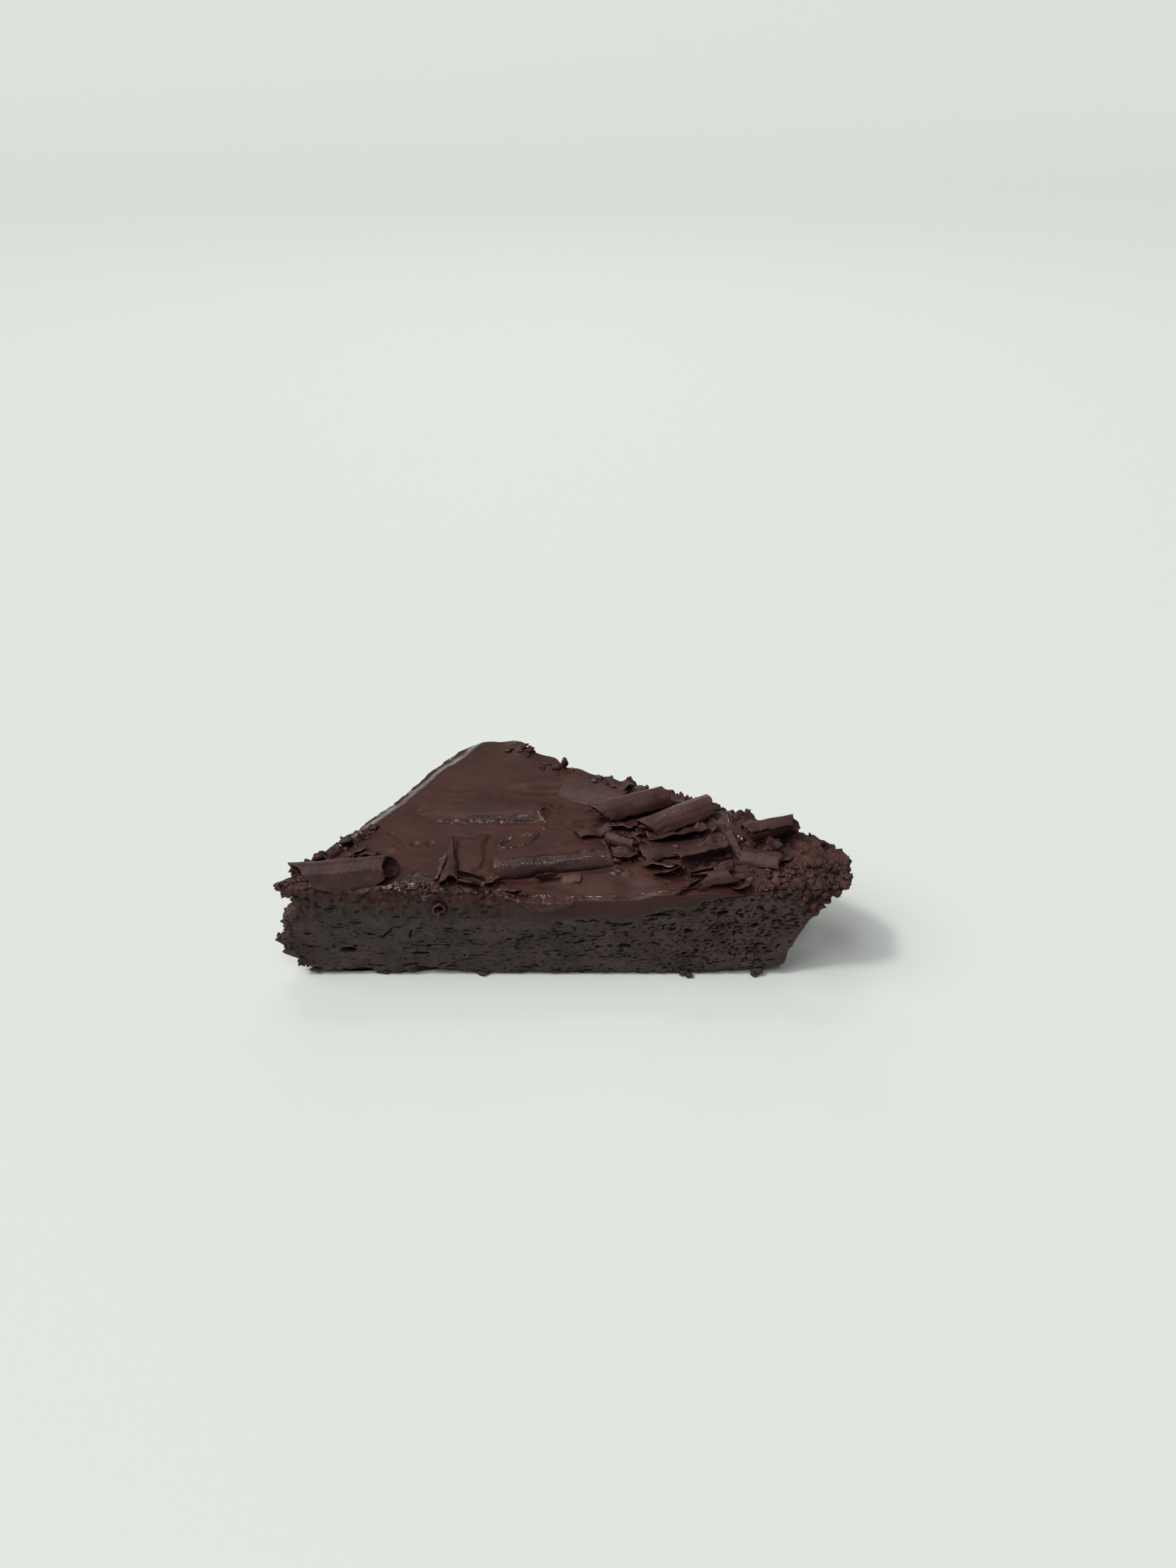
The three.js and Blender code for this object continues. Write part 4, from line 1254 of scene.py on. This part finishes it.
def spongeMaterial():
    look = spongeLook
    material, tree, shader = newMaterial("cocoacrumb")
    link = tree.links.new
    hollowShade, crust, smear = lookMasks(tree)
    height, mottle = placeGrain(tree, *look["grain"])
    shade = remap(tree, mottle, 0.35, 0.65, 0, 1)
    # fine flat slits between the modelled ones, sunk in the bump and painted dark as shade
    where = tree.nodes.new("ShaderNodeTexCoord")
    stretch = addNode(tree, "ShaderNodeMapping", Scale=look["slits"])
    flat = addNode(tree, "ShaderNodeTexNoise", Scale=1, Detail=2, Roughness=0.5)
    link(where.outputs["Object"], stretch.inputs["Vector"])
    link(stretch.outputs["Vector"], flat.inputs["Vector"])
    slits = remap(tree, flat.outputs["Fac"], 0.605, 0.655, 0, 1)
    plain = maths(tree, "MAXIMUM", smear, crust)
    slits = maths(tree, "MULTIPLY", slits, remap(tree, plain, 0.2, 0.7, 1, 0))
    # crumb clusters of the crust, with painted shade in the crevices between them, which also sink in the
    # bump
    cells = addNode(tree, "ShaderNodeTexVoronoi", Scale=look["crumbs"])
    link(where.outputs["Object"], cells.inputs["Vector"])
    crevice = remap(tree, cells.outputs["Distance"], 0.3, 0.75, 0, 1)
    crevice = maths(tree, "MULTIPLY", crevice, crust)
    cut = mixColours(tree, shade, look["cut"], look["cutPale"])
    baked = mixColours(tree, shade, look["crustDark"], look["crust"])
    baked = mixColours(tree, remap(tree, crevice, 0, 1, 0, 0.5), baked, look["crustDark"])
    colour = mixColours(tree, crust, cut, baked)
    smeared = mixColours(tree, shade, look["smearDark"], look["smear"])
    smeared = mixColours(tree, crust, smeared, look["crustSmear"])
    colour = mixColours(tree, smear, colour, smeared)
    # painted shade in the pores, the crust's pits and the fine slits
    dark = maths(tree, "MAXIMUM", hollowShade, remap(tree, slits, 0, 1, 0, 0.6))
    colour = mixColours(tree, dark, colour, look["hollowShade"])
    rough = remap(tree, smear, 0, 1, look["roughness"], look["smearRoughness"])
    setInputs(tree, shader, {"Base Color": colour, "Roughness": rough,
        "Specular IOR Level": look["specular"]})
    relief = maths(tree, "SUBTRACT", maths(tree, "SUBTRACT", height, slits), crevice)
    addBump(tree, shader, relief, look)
    return material


ganacheLook = {
    "dark": srgb(58, 33, 28),
    "pale": srgb(79, 47, 38),
    "cut": srgb(61, 35, 30),
    # grey of the band along the lower front of the layer
    "wet": srgb(56, 33, 27),
    "greyBand": srgb(58, 54, 47),
    "grain": (1300, 120),
    "roughness": (0.38, 0.52),
    "cutRougher": 0.15,
    "specular": 0.23,
    "coat": (0.3, 0.75, 0, 0.9),  # from and to which wetness, and the coat there
    "coatRoughness": 0.04,
    "wetBump": (0.3, 0.5),
    "bump": 0.5,
    "bumpDepth": 0.0004,
}


def ganacheMaterial():
    look = ganacheLook
    material, tree, shader = newMaterial("softganache")
    wet, greyBand, cutFace = lookMasks(tree)
    height, mottle = placeGrain(tree, *look["grain"])
    shade = remap(tree, mottle, 0.3, 0.7, 0, 1)
    colour = mixColours(tree, shade, look["dark"], look["pale"])
    colour = mixColours(tree, cutFace, colour, look["cut"])
    colour = mixColours(tree, remap(tree, greyBand, 0, 1, 0, 0.8), colour, look["greyBand"])
    colour = mixColours(tree, remap(tree, wet, 0, 1, 0, 0.8), colour, look["wet"])
    tree.links.new(colour, shader.inputs["Base Color"])
    rough = remap(tree, mottle, 0.3, 0.7, *look["roughness"])
    rough = maths(tree, "ADD", rough, remap(tree, cutFace, 0, 1, 0, look["cutRougher"]))
    addGloss(tree, shader, rough, wet, height, look)
    return material


chocolateLook = {
    "dark": srgb(50, 31, 29),
    "pale": srgb(82, 54, 49),
    "edge": srgb(110, 72, 60),
    "grain": (1900, 220),
    "roughness": (0.36, 0.56),
    "specular": 0.26,
    "coat": (0.4, 0.9, 0, 0.8),
    "coatRoughness": 0.1,
    "wetBump": (0.8, 1.6),
    "bump": 0.5,
    "bumpDepth": 0.0004,
}


def chocolateMaterial():
    look = chocolateLook
    material, tree, shader = newMaterial("shavedchocolate")
    edge, pale, wet = lookMasks(tree)
    height, mottle = placeGrain(tree, *look["grain"])
    shade = remap(tree, mottle, 0.32, 0.68, 0, 1)
    colour = mixColours(tree, shade, look["dark"], look["pale"])
    # paler edges: partly the shavings' own paler edges, partly a painted highlight where thin edges catch the
    # light
    rim = maths(tree, "MULTIPLY", edge, remap(tree, mottle, 0.4, 0.65, 0.05, 0.5))
    colour = mixColours(tree, maths(tree, "MAXIMUM", rim, pale), colour, look["edge"])
    tree.links.new(colour, shader.inputs["Base Color"])
    rough = remap(tree, height, 0.3, 0.7, *look["roughness"])
    addGloss(tree, shader, rough, wet, height, look)
    return material


# Build the pieces
def dress(piece, material):
    piece.data.materials.append(material)
    print(piece.name, "made:", len(piece.data.polygons), "faces")


crumbLook = spongeMaterial()
chocolate = chocolateMaterial()
sponge = buildSponge()
dress(sponge, crumbLook)
dress(buildGanache(), ganacheMaterial())
for node, form in curlForms.items():
    dress(buildCurl(node, form), chocolate)
dress(buildFlakes(), chocolate)
dress(buildBits(), chocolate)
dress(buildCrumbs(sponge), crumbLook)
bpy.data.meshes.remove(block)

# Stage: pale floor that sweeps up far behind, soft light and the camera, all in metres
stage = {
    "floorHalf": 4.5,
    "sweepStart": 2,  # from here the floor curves up with this radius
    "sweep": 6,
    "floorColour": srgb(232, 236, 230),
    "floorRoughness": 0.7,
    "worldColour": (0.92, 0.95, 1, 1),
    "worldStrength": 0.13,
    "keyPlace": (-0.5, -0.16, 0.85),
    "keyStrength": 1.52,
    "keyAngle": 50,
    # small hard lights that glint on wet spots: where from, and strength
    "sparks": (((-0.5, -0.16, 0.85), 0.92), ((0.15, -0.45, 0.9), 0.3), ((-0.15, 0.45, 0.85), 0.13)),
    "sparkAngle": 8,
    "lamps": ((-0.35, 0.75, 0.95), (0.25, 0.8, 0.9), (-0.05, 0.95, 0.7), (0.05, 0.55, 1.1)),
    "lampAim": (0, 0, 0.02),
    "lampSize": 0.08,
    "lampPower": 0.24,
    "eye": (0.004, -0.2024, 0.172),
    "pitch": 34.4,
    "sensor": 36,
    "lens": 1500 / 2212 * 36,
    "nearest": 0.01,
}


def buildFloor():
    bm = bmesh.new()
    sweep = stage["sweep"]
    bmesh.ops.create_grid(bm, x_segments=2, y_segments=48, size=stage["floorHalf"])
    for v in bm.verts:
        past = max(0, v.co.y - stage["sweepStart"])
        v.co.x *= 2
        v.co.y -= past - sweep * sin(past / sweep)
        v.co.z = sweep * (1 - cos(past / sweep))
    floor = newObject(bm, "palefloor")
    material, tree, shader = newMaterial("palefloor")
    setInputs(tree, shader, {"Base Color": stage["floorColour"], "Roughness": stage["floorRoughness"]})
    floor.data.materials.append(material)


def addLight(name, kind, place, aim, power, **values):
    data = bpy.data.lights.new(name, kind)
    data.energy = power
    for key, value in values.items():
        setattr(data, key, value)
    lamp = bpy.data.objects.new(name, data)
    lamp.location = place
    lamp.rotation_euler = (Vector(aim) - Vector(place)).to_track_quat("-Z", "Y").to_euler()
    bpy.context.scene.collection.objects.link(lamp)


def buildLights():
    world = bpy.data.worlds.new("softstudio")
    world.use_nodes = True
    backdrop = world.node_tree.nodes["Background"]
    setInputs(world.node_tree, backdrop, {"Color": stage["worldColour"], "Strength": stage["worldStrength"]})
    bpy.context.scene.world = world
    keyAngle, sparkAngle = radians(stage["keyAngle"]), radians(stage["sparkAngle"])
    addLight("key", "SUN", stage["keyPlace"], (0, 0, 0), stage["keyStrength"], angle=keyAngle)
    for index, (place, strength) in enumerate(stage["sparks"]):
        addLight("spark%d" % index, "SUN", place, (0, 0, 0), strength, angle=sparkAngle)
    aim, power, size = stage["lampAim"], stage["lampPower"], stage["lampSize"]
    for index, place in enumerate(stage["lamps"]):
        addLight("lamp%d" % index, "AREA", place, aim, power, size=size)


def buildCamera():
    data = bpy.data.cameras.new("photoview")
    data.lens = stage["lens"]
    data.sensor_width = stage["sensor"]
    data.clip_start = stage["nearest"]
    camera = bpy.data.objects.new("photoview", data)
    camera.location = stage["eye"]
    camera.rotation_euler = (radians(90 - stage["pitch"]), 0, 0)
    bpy.context.scene.collection.objects.link(camera)
    bpy.context.scene.camera = camera
    bpy.context.scene.view_settings.view_transform = "Standard"


buildFloor()
buildLights()
buildCamera()
print("stage and camera set")
